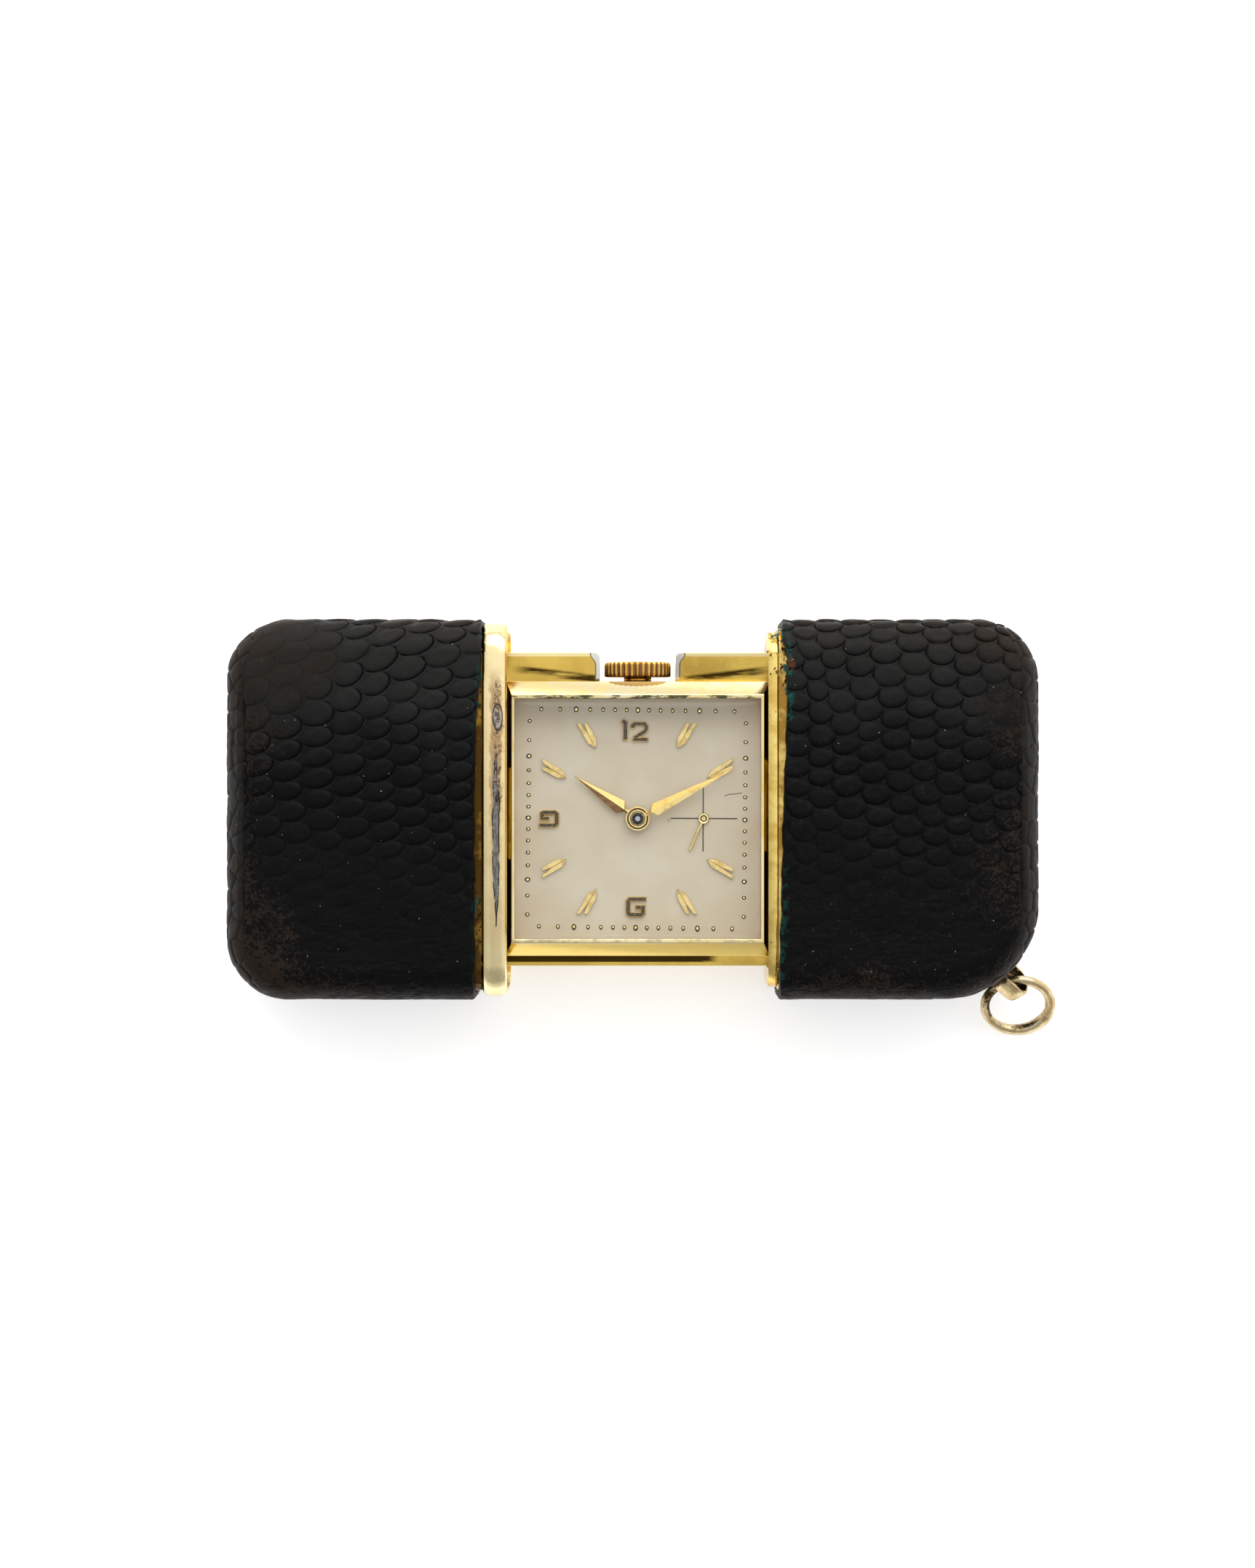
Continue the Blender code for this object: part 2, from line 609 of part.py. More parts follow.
def left_bead():
    outer_y = HALF_COVER - BEAD_INSET
    outer_z = COVER_THICKNESS / 2 - BEAD_INSET
    low = -OPENING_HALF - BEAD_WIDTH
    loop = rounded_box(outer_y, outer_z, BEAD_CORNER, (COVER_CENTRE_Y, COVER_Z), 4)
    bead = across_plate("left_bead", [loop], -BEAD_CROWN, BEAD_CROWN, GILT)
    builder = bmesh.new()
    builder.from_mesh(bead.data)
    rim = [edge for edge in builder.edges if abs(edge.verts[0].co.x - edge.verts[1].co.x) < WELD
           and edge.calc_face_angle(0.0) > 0.5]
    bmesh.ops.bevel(builder, geom=rim, offset=BEAD_CROWN * 0.96, segments=3, profile=0.5, affect="EDGES")
    bmesh.ops.scale(builder, vec=(BEAD_WIDTH / (2 * BEAD_CROWN), 1, 1), verts=builder.verts)
    bmesh.ops.translate(builder, vec=(low + BEAD_WIDTH / 2, 0, 0), verts=builder.verts)
    builder.to_mesh(bead.data)
    builder.free()
    cut(bead, collar_opening("bead_opening", low, -OPENING_HALF))
    nest_y = HALF_COVER - RIM_INSET + SEAT_GAP / 2
    nest_z = COVER_THICKNESS / 2 - RIM_INSET + SEAT_GAP / 2
    nest = rounded_box(nest_y, nest_z, RIM_CORNER, (COVER_CENTRE_Y, COVER_Z))
    depth = NEST_DEPTH + SEAT_GAP / 2
    cut(bead, across_plate("bead_nest", [nest], -OPENING_HALF - depth, -OPENING_HALF + OVERRUN, GILT))
    add_stop_lugs(bead, low, 1)
    smooth(bead)


def right_rim():
    outer_y = HALF_COVER - RIM_INSET
    outer_z = COVER_THICKNESS / 2 - RIM_INSET
    high = OPENING_HALF + RIM_WIDTH
    loop = rounded_box(outer_y, outer_z, RIM_CORNER, (COVER_CENTRE_Y, COVER_Z))
    rim = across_plate("right_rim", [loop], OPENING_HALF, high, GILT)
    cut(rim, collar_opening("rim_opening", OPENING_HALF, high))
    add_stop_lugs(rim, high, -1)
    smooth(rim)


def bail_frame():
    """Directions of the bail: along it, across its strap, and from one arm to the other."""
    along = Vector(BAIL_DIRECTION).normalized()
    across = Vector(BAIL_NORMAL)
    across = (across - along * across.dot(along)).normalized()
    return along, across, across.cross(along)


def bail_matrix():
    along, across, apart = bail_frame()
    turn = Matrix((along, apart, across)).transposed().to_4x4()
    return Matrix.Translation(BAIL_AT) @ turn


def bail():
    """A strap bent to a U, its arms running back to the liner's corner."""
    outer = BAIL_BEND + BAIL_STRAP / 2
    inner = BAIL_BEND - BAIL_STRAP / 2
    steps = 10
    sweep = [math.pi / 2 - math.pi * step / steps for step in range(steps + 1)]
    points = [(-BAIL_LENGTH, outer)] + [polar(outer, angle) for angle in sweep] + [(-BAIL_LENGTH, -outer)]
    points += [(-BAIL_LENGTH, -inner)] + [polar(inner, -angle) for angle in sweep] + [(-BAIL_LENGTH, inner)]
    made = plate("bail", [points], -BAIL_WIDTH / 2, BAIL_WIDTH / 2, GILT)
    made.data.transform(bail_matrix())
    smooth(made)


def bail_slot():
    """The hole in the leather that the bail comes out of."""
    half = BAIL_BEND + BAIL_STRAP / 2 + FINE_GAP
    width = BAIL_WIDTH / 2 + FINE_GAP
    slot = box("bail_slot", (-BAIL_LENGTH * 2, -half, -width), (OVERRUN, half, width), GILT)
    slot.data.transform(bail_matrix())
    return slot


def ring_place(angle):
    """A point of the ring's centre line; the ring hangs from RING_AT."""
    def on_circle(turn):
        tilted = math.cos(turn) * RING_RADIUS
        across = -math.sin(turn) * RING_RADIUS
        return Vector((across, tilted * math.cos(RING_TILT), tilted * math.sin(RING_TILT)))
    return Vector(RING_AT) + on_circle(angle) - on_circle(RING_PHASE)


def chain_ring():
    """A forged ring, thicker at its lower right."""
    sides = 26
    curve = bpy.data.curves.new("chain_ring", "CURVE")
    curve.dimensions = "3D"
    curve.bevel_depth = RING_WIRE
    curve.bevel_resolution = 2
    spline = curve.splines.new("POLY")
    spline.points.add(sides - 1)
    spline.use_cyclic_u = True
    heavy = math.radians(-140.0)
    for index, point in enumerate(spline.points):
        angle = math.tau * index / sides
        place = ring_place(angle) - Vector(RING_AT)
        point.co = (*place, 1.0)
        closeness = max(0.0, math.cos(angle - heavy))
        point.radius = 1.0 + RING_THICK_SHARE * closeness ** 2
    ring = bpy.data.objects.new("chain_ring", curve)
    CLOCK.objects.link(ring)
    bpy.context.view_layer.update()
    made = as_mesh(ring, GILT)
    made.location = RING_AT
    smooth(made)


def carriage_outline(shoe):
    """Outline of the carriage from the notch clockwise to the left of the notch."""
    rail = CARRIAGE_HALF_HEIGHT
    end = CARRIAGE_HALF_LENGTH
    shoulder = STOP_LUG_END + SEAT_GAP
    y = COVER_CENTRE_Y
    upper = [(NOTCH_HALF, y + rail, NOTCH_CORNER), (shoulder, y + rail, 0.0), (shoulder, y + shoe, 0.0),
             (end, y + shoe, SHOE_CORNER)]
    lower = [(shoulder, y - shoe, 0.0), (shoulder, y - rail, 0.0)]
    right = upper + [(end, y - shoe, RING_SHOE_CORNER)] + lower
    left = upper + [(end, y - shoe, SHOE_CORNER)] + lower
    return right + [(-x, height, radius) for x, height, radius in reversed(left)]


def carriage_frame():
    hole = [(-NOTCH_HALF, RAIL_INNER_Y, 0.0), (-FRAME_INNER_X, RAIL_INNER_Y, 0.0),
            (-FRAME_INNER_X, -RAIL_INNER_Y, 0.0), (FRAME_INNER_X, -RAIL_INNER_Y, 0.0),
            (FRAME_INNER_X, RAIL_INNER_Y, 0.0), (NOTCH_HALF, RAIL_INNER_Y, 0.0)]
    loop = filleted(carriage_outline(SHOE_HALF_HEIGHT) + hole)
    frame = plate("carriage_frame", [loop], FRAME_Z, CARRIAGE_TOP_Z, GILT)
    low = (-CARRIAGE_HALF_LENGTH - OVERRUN, -CHANNEL_HALF, FRAME_Z - OVERRUN)
    high = (CARRIAGE_HALF_LENGTH + OVERRUN, CHANNEL_HALF, WATCH_BACK_Z)
    cut(frame, box("rack_channel", low, high, GILT))


def strut_groove(name, inner_x, outer_x, low_y, high_y, bar):
    outer = filleted([(outer_x, high_y, 0.0), (-outer_x, high_y, 0.0), (-outer_x, low_y, STRUT_CORNER),
                      (outer_x, low_y, STRUT_CORNER)])
    inner_top = STRUT_HINGE_Y - STRUT_TUBE_RADIUS - SEAT_GAP
    inner = rounded_box(inner_x, (inner_top - low_y - bar) / 2, STRUT_CORNER / 2,
                        (0.0, (inner_top + low_y + bar) / 2), 2)
    return plate(name, [outer, inner], -OVERRUN, GROOVE_DEPTH, GILT)


def back_plate():
    """Plate that closes the carriage: groove and window for the strut, post for the pinion."""
    notch = [(-NOTCH_HALF, RAIL_INNER_Y, 0.0), (NOTCH_HALF, RAIL_INNER_Y, 0.0)]
    loop = filleted(carriage_outline(SHOE_HALF_HEIGHT - PLATE_SHOE_INSET) + notch)
    base = plate("back_plate", [loop], 0.0, PLATE_THICKNESS, GILT)
    gap = SEAT_GAP
    top = STRUT_HINGE_Y + STRUT_TUBE_RADIUS + gap
    cut(base, strut_groove("strut_groove", STRUT_HALF_WIDTH - STRUT_BAR - gap, STRUT_HALF_WIDTH + gap,
                           STRUT_FOOT_Y - gap, top, STRUT_BAR + 2 * gap))
    low = (-STRUT_HALF_WIDTH - gap, STRUT_HINGE_Y - STRUT_TUBE_RADIUS - gap, -OVERRUN)
    high = (STRUT_HALF_WIDTH + gap, top, PLATE_THICKNESS + OVERRUN)
    cut(base, box("hinge_window", low, high, GILT))
    reach = STRUT_PIN_HALF + FINE_GAP
    half = STRUT_PIN_RADIUS + FINE_GAP
    low = (-reach, STRUT_HINGE_Y - half, -OVERRUN)
    high = (reach, STRUT_HINGE_Y + half, STRUT_HINGE_Z + half)
    cut(base, box("pin_slot", low, high, GILT))
    top_z = RACK_Z + RACK_THICKNESS + FINE_GAP
    join(base, rod("pinion_post", POST_RADIUS, (0, 0, PLATE_THICKNESS - OVERLAP), (0, 0, top_z), GILT, 20))


def strut():
    """Folding easel frame with a tube along its hinge, its origin on the hinge."""
    low_z = FINE_GAP
    inner_x = STRUT_HALF_WIDTH - STRUT_BAR
    outer = filleted([(STRUT_HALF_WIDTH, STRUT_HINGE_Y, 0.0), (-STRUT_HALF_WIDTH, STRUT_HINGE_Y, 0.0),
                      (-STRUT_HALF_WIDTH, STRUT_FOOT_Y, STRUT_CORNER),
                      (STRUT_HALF_WIDTH, STRUT_FOOT_Y, STRUT_CORNER)])
    inner = filleted([(inner_x, STRUT_HINGE_Y, 0.0), (-inner_x, STRUT_HINGE_Y, 0.0),
                      (-inner_x, STRUT_FOOT_Y + STRUT_BAR, STRUT_CORNER / 2),
                      (inner_x, STRUT_FOOT_Y + STRUT_BAR, STRUT_CORNER / 2)], 2)
    inner = shrink_top(inner, STRUT_TUBE_RADIUS / 2)
    frame = plate("strut", [outer, inner], low_z, low_z + STRUT_THICKNESS, GILT)
    ends = [(side * STRUT_HALF_WIDTH, STRUT_HINGE_Y, STRUT_HINGE_Z) for side in (-1, 1)]
    join(frame, rod("strut_tube", STRUT_TUBE_RADIUS, ends[0], ends[1], GILT, 16))
    bore = [(x * 2, y, z) for x, y, z in ends]
    cut(frame, rod("strut_bore", STRUT_PIN_RADIUS + FINE_GAP, bore[0], bore[1], GILT, 12))
    set_origin(frame, (0.0, STRUT_HINGE_Y, STRUT_HINGE_Z))
    smooth(frame)
    pin_ends = [(side * STRUT_PIN_HALF, STRUT_HINGE_Y, STRUT_HINGE_Z) for side in (-1, 1)]
    rod("strut_pin", STRUT_PIN_RADIUS, pin_ends[0], pin_ends[1], STEEL, 12)


def shrink_top(loop, amount):
    """Lower the points on the hinge line, so that the tube closes the frame."""
    return [(x, min(y, STRUT_HINGE_Y - amount)) for x, y in loop]


def set_origin(piece, place):
    """Move a piece's origin without moving its shape."""
    piece.data.transform(Matrix.Translation(-Vector(place)))
    piece.location = place


def rack_outline(pitch_y, side, turn):
    """One rack: teeth on the pinion's side from its free end to the end of travel."""
    pitch = math.pi * PINION_MODULE
    tip_y = pitch_y - side * PINION_MODULE * RACK_ADDENDUM_SHARE
    root_y = pitch_y + side * PINION_MODULE * RACK_DEDENDUM_SHARE
    points = []
    first = math.ceil((-TRAVEL - RACK_REACH) / pitch)
    last = math.floor((RACK_REACH - pitch) / pitch)
    for tooth in range(first, last + 1):
        middle = (tooth + turn) * pitch
        for y, share in ((root_y, -RACK_ROOT_SHARE), (tip_y, -RACK_TIP_SHARE), (tip_y, RACK_TIP_SHARE),
                         (root_y, RACK_ROOT_SHARE)):
            points.append((middle + share * pitch / 2, y))
    return points, root_y + side * RACK_BODY


def rack(name, side, turn, end_x):
    """A rack for the cover on one side (-1 left), its teeth towards the pinion's axis."""
    pitch_y = -side * PINION_PITCH
    teeth, back_y = rack_outline(pitch_y, -side, turn)
    root_y = teeth[0][1]
    far_x = OVERLAP - abs(end_x)
    points = [(far_x, root_y)] + teeth + [(RACK_REACH, root_y), (RACK_REACH, back_y), (far_x, back_y)]
    points = [(-side * x, y) for x, y in points]
    bar = plate(name, [points], RACK_Z, RACK_Z + RACK_THICKNESS, STEEL)
    inner_x = end_x - side * RACK_TAB
    low = (min(end_x, inner_x), min(root_y, back_y) - OVERLAP, RACK_Z + OVERLAP)
    high = (max(end_x, inner_x), max(root_y, back_y) + OVERLAP, RACK_Z + RACK_TAB_HEIGHT)
    join(bar, box("rack_tab", low, high, STEEL), "MANIFOLD")


def rack_pinion():
    tip = PINION_PITCH + PINION_MODULE * RACK_ADDENDUM_SHARE
    root = PINION_PITCH - PINION_MODULE * RACK_DEDENDUM_SHARE
    step = math.tau / PINION_TEETH
    points = []
    for tooth in range(PINION_TEETH):
        middle = math.pi / 2 + tooth * step
        for radius, share in ((root, -RACK_ROOT_SHARE), (tip, -RACK_TIP_SHARE), (tip, RACK_TIP_SHARE),
                              (root, RACK_ROOT_SHARE)):
            points.append(polar(radius, middle + share * step / 2))
    bore = circle(POST_RADIUS + FINE_GAP, sides=20)
    plate("rack_pinion", [points, bore], RACK_Z, RACK_Z + RACK_THICKNESS, STEEL)


def friction_spring(name, side):
    """A bowed leaf that presses on the liner's front wall."""
    low = CARRIAGE_TOP_Z + FINE_GAP
    rise = COVER_Z + CAVITY_HALF_Z - FINE_GAP - SPRING_THICKNESS - low
    steps = 10
    lower = []
    for step in range(steps + 1):
        share = step / steps
        x = SPRING_START_X + (SPRING_END_X - SPRING_START_X) * share
        lower.append((side * x, low + rise * math.sin(math.pi * share)))
    upper = [(x, z + SPRING_THICKNESS) for x, z in reversed(lower)]
    leaf = plate(name, [lower + upper], -SPRING_WIDTH / 2, SPRING_WIDTH / 2, STEEL)
    leaf.data.transform(Matrix.Rotation(math.radians(90.0), 4, "X"))
    leaf.data.transform(Matrix.Translation((0.0, COVER_CENTRE_Y, 0.0)))
    smooth(leaf)


def case_band():
    outer = rounded_box(CASE_HALF_X, CASE_HALF_Y, CASE_CORNER)
    low = WATCH_BACK_Z + WATCH_BACK + FINE_GAP
    band = plate("case_band", [outer, circle(CASE_BORE_RADIUS, sides=48)], low, CASE_TOP_Z, GILT)
    half_x, half_y = DIAL_HALF_X + FINE_GAP, DIAL_HALF_Y + FINE_GAP
    cut(band, box("dial_seat", (-half_x, -half_y, DIAL_SEAT_Z), (half_x, half_y, CASE_TOP_Z + OVERRUN), GILT))
    start = (0, CASE_BORE_RADIUS - OVERRUN, STEM_Z)
    end = (0, CASE_HALF_Y + OVERRUN, STEM_Z)
    cut(band, rod("stem_hole", STEM_RADIUS + FINE_GAP, start, end, GILT))


def watch_back():
    inset = FINE_GAP
    outer = rounded_box(CASE_HALF_X - inset, CASE_HALF_Y - inset, CASE_CORNER)
    plate("watch_back", [outer], WATCH_BACK_Z, WATCH_BACK_Z + WATCH_BACK, NICKEL)


def bezel():
    """Frame with sloping facets, a lip over the crystal and an open middle."""
    bottom = CASE_TOP_Z + 2 * FINE_GAP
    builder = bmesh.new()
    bmesh.ops.create_cube(builder, size=1.0)
    bmesh.ops.scale(builder, vec=(2 * BEZEL_HALF_X, 2 * BEZEL_HALF_Y, BEZEL_WALL_Z - bottom),
                    verts=builder.verts)
    bmesh.ops.translate(builder, vec=(0, 0, (BEZEL_WALL_Z + bottom) / 2), verts=builder.verts)
    top = [face for face in builder.faces if face.normal.z > 0.5]
    raised = bmesh.ops.extrude_face_region(builder, geom=top)
    verts = [item for item in raised["geom"] if isinstance(item, bmesh.types.BMVert)]
    bmesh.ops.delete(builder, geom=top, context="FACES")
    shrink = (1 - BEZEL_FACET_X / BEZEL_HALF_X, 1 - BEZEL_FACET_Y / BEZEL_HALF_Y, 1)
    bmesh.ops.scale(builder, vec=shrink, verts=verts)
    bmesh.ops.translate(builder, vec=(0, 0, BEZEL_TOP_Z - BEZEL_WALL_Z), verts=verts)
    frame = from_mesh_builder("bezel", builder, GILT)
    lip_z = BEZEL_TOP_Z - BEZEL_LIP
    pocket_x, pocket_y = BEZEL_HALF_X - BEZEL_POCKET_WALL_X, BEZEL_HALF_Y - BEZEL_POCKET_WALL_Y
    low, high = (-pocket_x, -pocket_y, bottom - OVERRUN), (pocket_x, pocket_y, lip_z)
    cut(frame, box("bezel_pocket", low, high, GILT))
    low = (-BEZEL_OPENING_X, -BEZEL_OPENING_Y, bottom)
    cut(frame, box("bezel_opening", low, (BEZEL_OPENING_X, BEZEL_OPENING_Y, BEZEL_TOP_Z + OVERRUN), GILT))


def crystal():
    """Pane with a raised, rounded middle that fills the bezel's opening."""
    top = BEZEL_TOP_Z - BEZEL_LIP - FINE_GAP
    half_x = BEZEL_HALF_X - BEZEL_POCKET_WALL_X - FINE_GAP
    half_y = BEZEL_HALF_Y - BEZEL_POCKET_WALL_Y - FINE_GAP
    pane = box("crystal", (-half_x, -half_y, top - CRYSTAL_THICKNESS), (half_x, half_y, top), CRYSTAL_CLEAR)
    half_x, half_y = BEZEL_OPENING_X - FINE_GAP, BEZEL_OPENING_Y - FINE_GAP
    low = (-half_x, -half_y, top - CRYSTAL_THICKNESS + OVERLAP)
    dome = box("crystal_dome", low, (half_x, half_y, CRYSTAL_TOP_Z), CRYSTAL_CLEAR)
    builder = bmesh.new()
    builder.from_mesh(dome.data)
    rim = [edge for edge in builder.edges if all(vert.co.z > top for vert in edge.verts)]
    bmesh.ops.bevel(builder, geom=rim, offset=CRYSTAL_ROUND, segments=3, profile=0.5, affect="EDGES")
    builder.to_mesh(dome.data)
    builder.free()
    join(pane, dome)


def dial():
    half = rounded_box(DIAL_HALF_X, DIAL_HALF_Y, CASE_CORNER)
    holes = [circle(DIAL_HOLE, CENTRE_AT, 20), circle(ARBOR_RADIUS + FINE_GAP, FOURTH_AT, 12)]
    low = DIAL_SEAT_Z + FINE_GAP
    plate("dial", [half] + holes, low, low + DIAL_THICKNESS, DIAL_CREAM)


def dial_top():
    return DIAL_SEAT_Z + FINE_GAP + DIAL_THICKNESS + APPLIED_GAP


def marker(hour):
    """A split spear that points at the middle, its fork cut along the dial's edge."""
    angle = math.pi / 2 - hour * math.tau / 12
    outward = Vector((math.cos(angle), math.sin(angle)))
    across = Vector((-outward.y, outward.x))
    tip = outward * MARKER_TIP_RADIUS
    edge = 1 if abs(outward.y) > abs(outward.x) else 0

    def at_edge(offset):
        """Where a line beside the spear's axis meets the cut along the dial's edge."""
        start = tip + across * offset
        limit = math.copysign(MARKER_OUTER_LINE, outward[edge])
        return tuple(start + outward * ((limit - start[edge]) / outward[edge]))

    half = MARKER_HALF_WIDTH
    shoulder = tip + outward * MARKER_SHOULDER
    points = [tuple(tip), tuple(shoulder - across * half), at_edge(-half),
              at_edge(MARKER_PRONG - half), tuple(tip + outward * MARKER_FORK),
              at_edge(half - MARKER_PRONG), at_edge(half), tuple(shoulder + across * half)]
    plate("marker_" + str(hour), [points], dial_top(), dial_top() + MARKER_THICKNESS, GILT)


def stroke_outline(path, width):
    """Outline of a line of constant width with mitred bends."""
    path = [Vector(point) for point in path]
    left, right = [], []
    for index, point in enumerate(path):
        before = (point - path[index - 1]).normalized() if index else None
        after = (path[index + 1] - point).normalized() if index + 1 < len(path) else None
        one = before or after
        two = after or before
        bend = (one + two).normalized()
        normal = Vector((-bend.y, bend.x))
        reach = width / 2 / max(0.4, normal.dot(Vector((-one.y, one.x))))
        left.append(tuple(point + normal * reach))
        right.append(tuple(point - normal * reach))
    return left + right[::-1]


# Strokes of the numerals, as shares of their height about their middle
NINE_PATH_SHARES = [(0.02, 0.02), (-0.36, 0.02), (-0.36, 0.33), (-0.26, 0.4), (0.34, 0.4), (0.44, 0.3),
                    (0.44, -0.32), (0.34, -0.42), (-0.5, -0.42)]
TWO_PATH_SHARES = [(-0.42, 0.24), (-0.42, 0.34), (-0.3, 0.44), (0.3, 0.44), (0.42, 0.34), (0.42, 0.14),
                   (0.3, 0.04), (-0.28, -0.14), (-0.42, -0.26), (-0.42, -0.44), (0.5, -0.44)]


def numeral(name, path, centre, scale, turn=0.0):
    rotation = Matrix.Rotation(turn, 2)
    places = []
    for x, y in path:
        turned = rotation @ Vector((x * scale[0], y * scale[1]))
        places.append((centre[0] + turned.x, centre[1] + turned.y))
    outline = stroke_outline(places, NUMERAL_STROKE)
    plate(name, [outline], dial_top(), dial_top() + MARKER_THICKNESS, GILT)


def numerals():
    numeral("numeral_nine", NINE_PATH_SHARES, (NINE_X, 0.0), (NINE_SIZE, NINE_SIZE * 0.9))
    numeral("numeral_six", NINE_PATH_SHARES, (0.0, SIX_Y), (SIX_SIZE, SIX_SIZE), math.pi)
    numeral("numeral_two", TWO_PATH_SHARES, (TWO_X, TWELVE_Y), (TWO_WIDTH, TWELVE_HEIGHT))
    half = TWELVE_HEIGHT / 2
    right, left = ONE_X + ONE_WIDTH / 2, ONE_X - ONE_WIDTH / 2
    flag = left - ONE_FLAG
    one = [(right, TWELVE_Y - half), (right, TWELVE_Y + half), (flag, TWELVE_Y + half),
           (left, TWELVE_Y + half - ONE_FLAG), (left, TWELVE_Y - half)]
    plate("numeral_one", [one], dial_top(), dial_top() + MARKER_THICKNESS, GILT)


def pointed_hand(name, length, width, widest, hub, bore, low_z, turn):
    """A tapered hand: round hub, narrow neck, widest near the hub, a point at the end."""
    neck_angle = math.asin(HAND_NECK / 2 / hub)
    rim = [math.pi / 2 + neck_angle + (math.tau - 2 * neck_angle) * step / 20 for step in range(21)]
    points = [polar(hub, angle) for angle in rim]
    points += [(HAND_NECK / 2, widest - width / 2), (width / 2, widest), (0.0, length), (-width / 2, widest),
               (-HAND_NECK / 2, widest - width / 2)]
    rotation = Matrix.Rotation(turn, 2)
    loop = [tuple(rotation @ Vector(point)) for point in points]
    plate(name, [loop, circle(bore, sides=16)], low_z, low_z + HAND_THICKNESS, GILT)


def hands():
    pointed_hand("hour_hand", HOUR_HAND_LENGTH, HOUR_HAND_WIDTH, HOUR_HAND_WIDEST, HOUR_HAND_HUB,
                 HOUR_TUBE_OUTER + PIVOT_GAP, HOUR_HAND_Z, HOUR_HAND_TURN)
    pointed_hand("minute_hand", MINUTE_HAND_LENGTH, MINUTE_HAND_WIDTH, MINUTE_HAND_WIDEST, MINUTE_HAND_HUB,
                 CANNON_OUTER + PIVOT_GAP, MINUTE_HAND_Z, MINUTE_HAND_TURN)
    half = SECONDS_HAND_WIDTH / 2
    tail_angle = math.asin(half / SECONDS_HAND_HUB)
    rim = [math.pi / 2 + tail_angle + (math.tau - 2 * tail_angle) * step / 14 for step in range(15)]
    points = [polar(SECONDS_HAND_HUB, angle) for angle in rim] + [(0.0, SECONDS_HAND_LENGTH)]
    rotation = Matrix.Rotation(SECONDS_HAND_TURN, 2)
    loop = [tuple(rotation @ Vector(point)) for point in points]
    bore = circle(ARBOR_RADIUS + PIVOT_GAP, sides=10)
    top = SECONDS_HAND_Z + SECONDS_HAND_THICKNESS
    made = plate("seconds_hand", [loop, bore], SECONDS_HAND_Z, top, GILT)
    made.location.x = SECONDS_X


def wheel(name, surface, centre, low_z, teeth, module, turn, arbor, spokes=4, thickness=WHEEL_THICKNESS):
    """A toothed wheel joined to its arbor (radius, low, high), with windows between its arms."""
    outline = gear_outline(teeth, module, (0.0, 0.0), turn)
    rim = module * (teeth / 2 - DEDENDUM_SHARE) * 0.84
    hub = max(arbor[0] * 2.2, rim * 0.2)
    loops = [outline]
    for index in range(spokes):
        start = turn + math.tau * index / spokes
        half = math.pi / spokes
        gap_out, gap_in = half * 0.14, half * 0.42
        arc = [polar(rim, start + gap_out + (2 * half - 2 * gap_out) * step / 3) for step in range(4)]
        back = [polar(hub, start + gap_in), polar(hub, start + 2 * half - gap_in)]
        loops.append(arc + back[::-1])
    made = plate(name, loops, low_z, low_z + thickness, surface)
    if arbor[0] > 0:
        join(made, rod(name + "_arbor", arbor[0], (0, 0, arbor[1]), (0, 0, arbor[2]), STEEL, 10))
    made.location = (*centre, 0.0)
    return made


def add_pinion(target, centre, low_z, high_z, teeth, module, turn):
    leaves = gear_outline(teeth, module, (0.0, 0.0), turn)
    tool = plate(target.name + "_pinion", [leaves], low_z, high_z, STEEL)
    tool.location = (*centre, 0.0)
    bpy.context.view_layer.update()
    join(target, tool)


def escape_place():
    reach = ESCAPE_MODULE * (FOURTH_TEETH + ESCAPE_PINION_TEETH) / 2
    return polar(reach, ESCAPE_DIRECTION, FOURTH_AT)


def pallet_place():
    return polar(PALLET_REACH, PALLET_DIRECTION, escape_place())


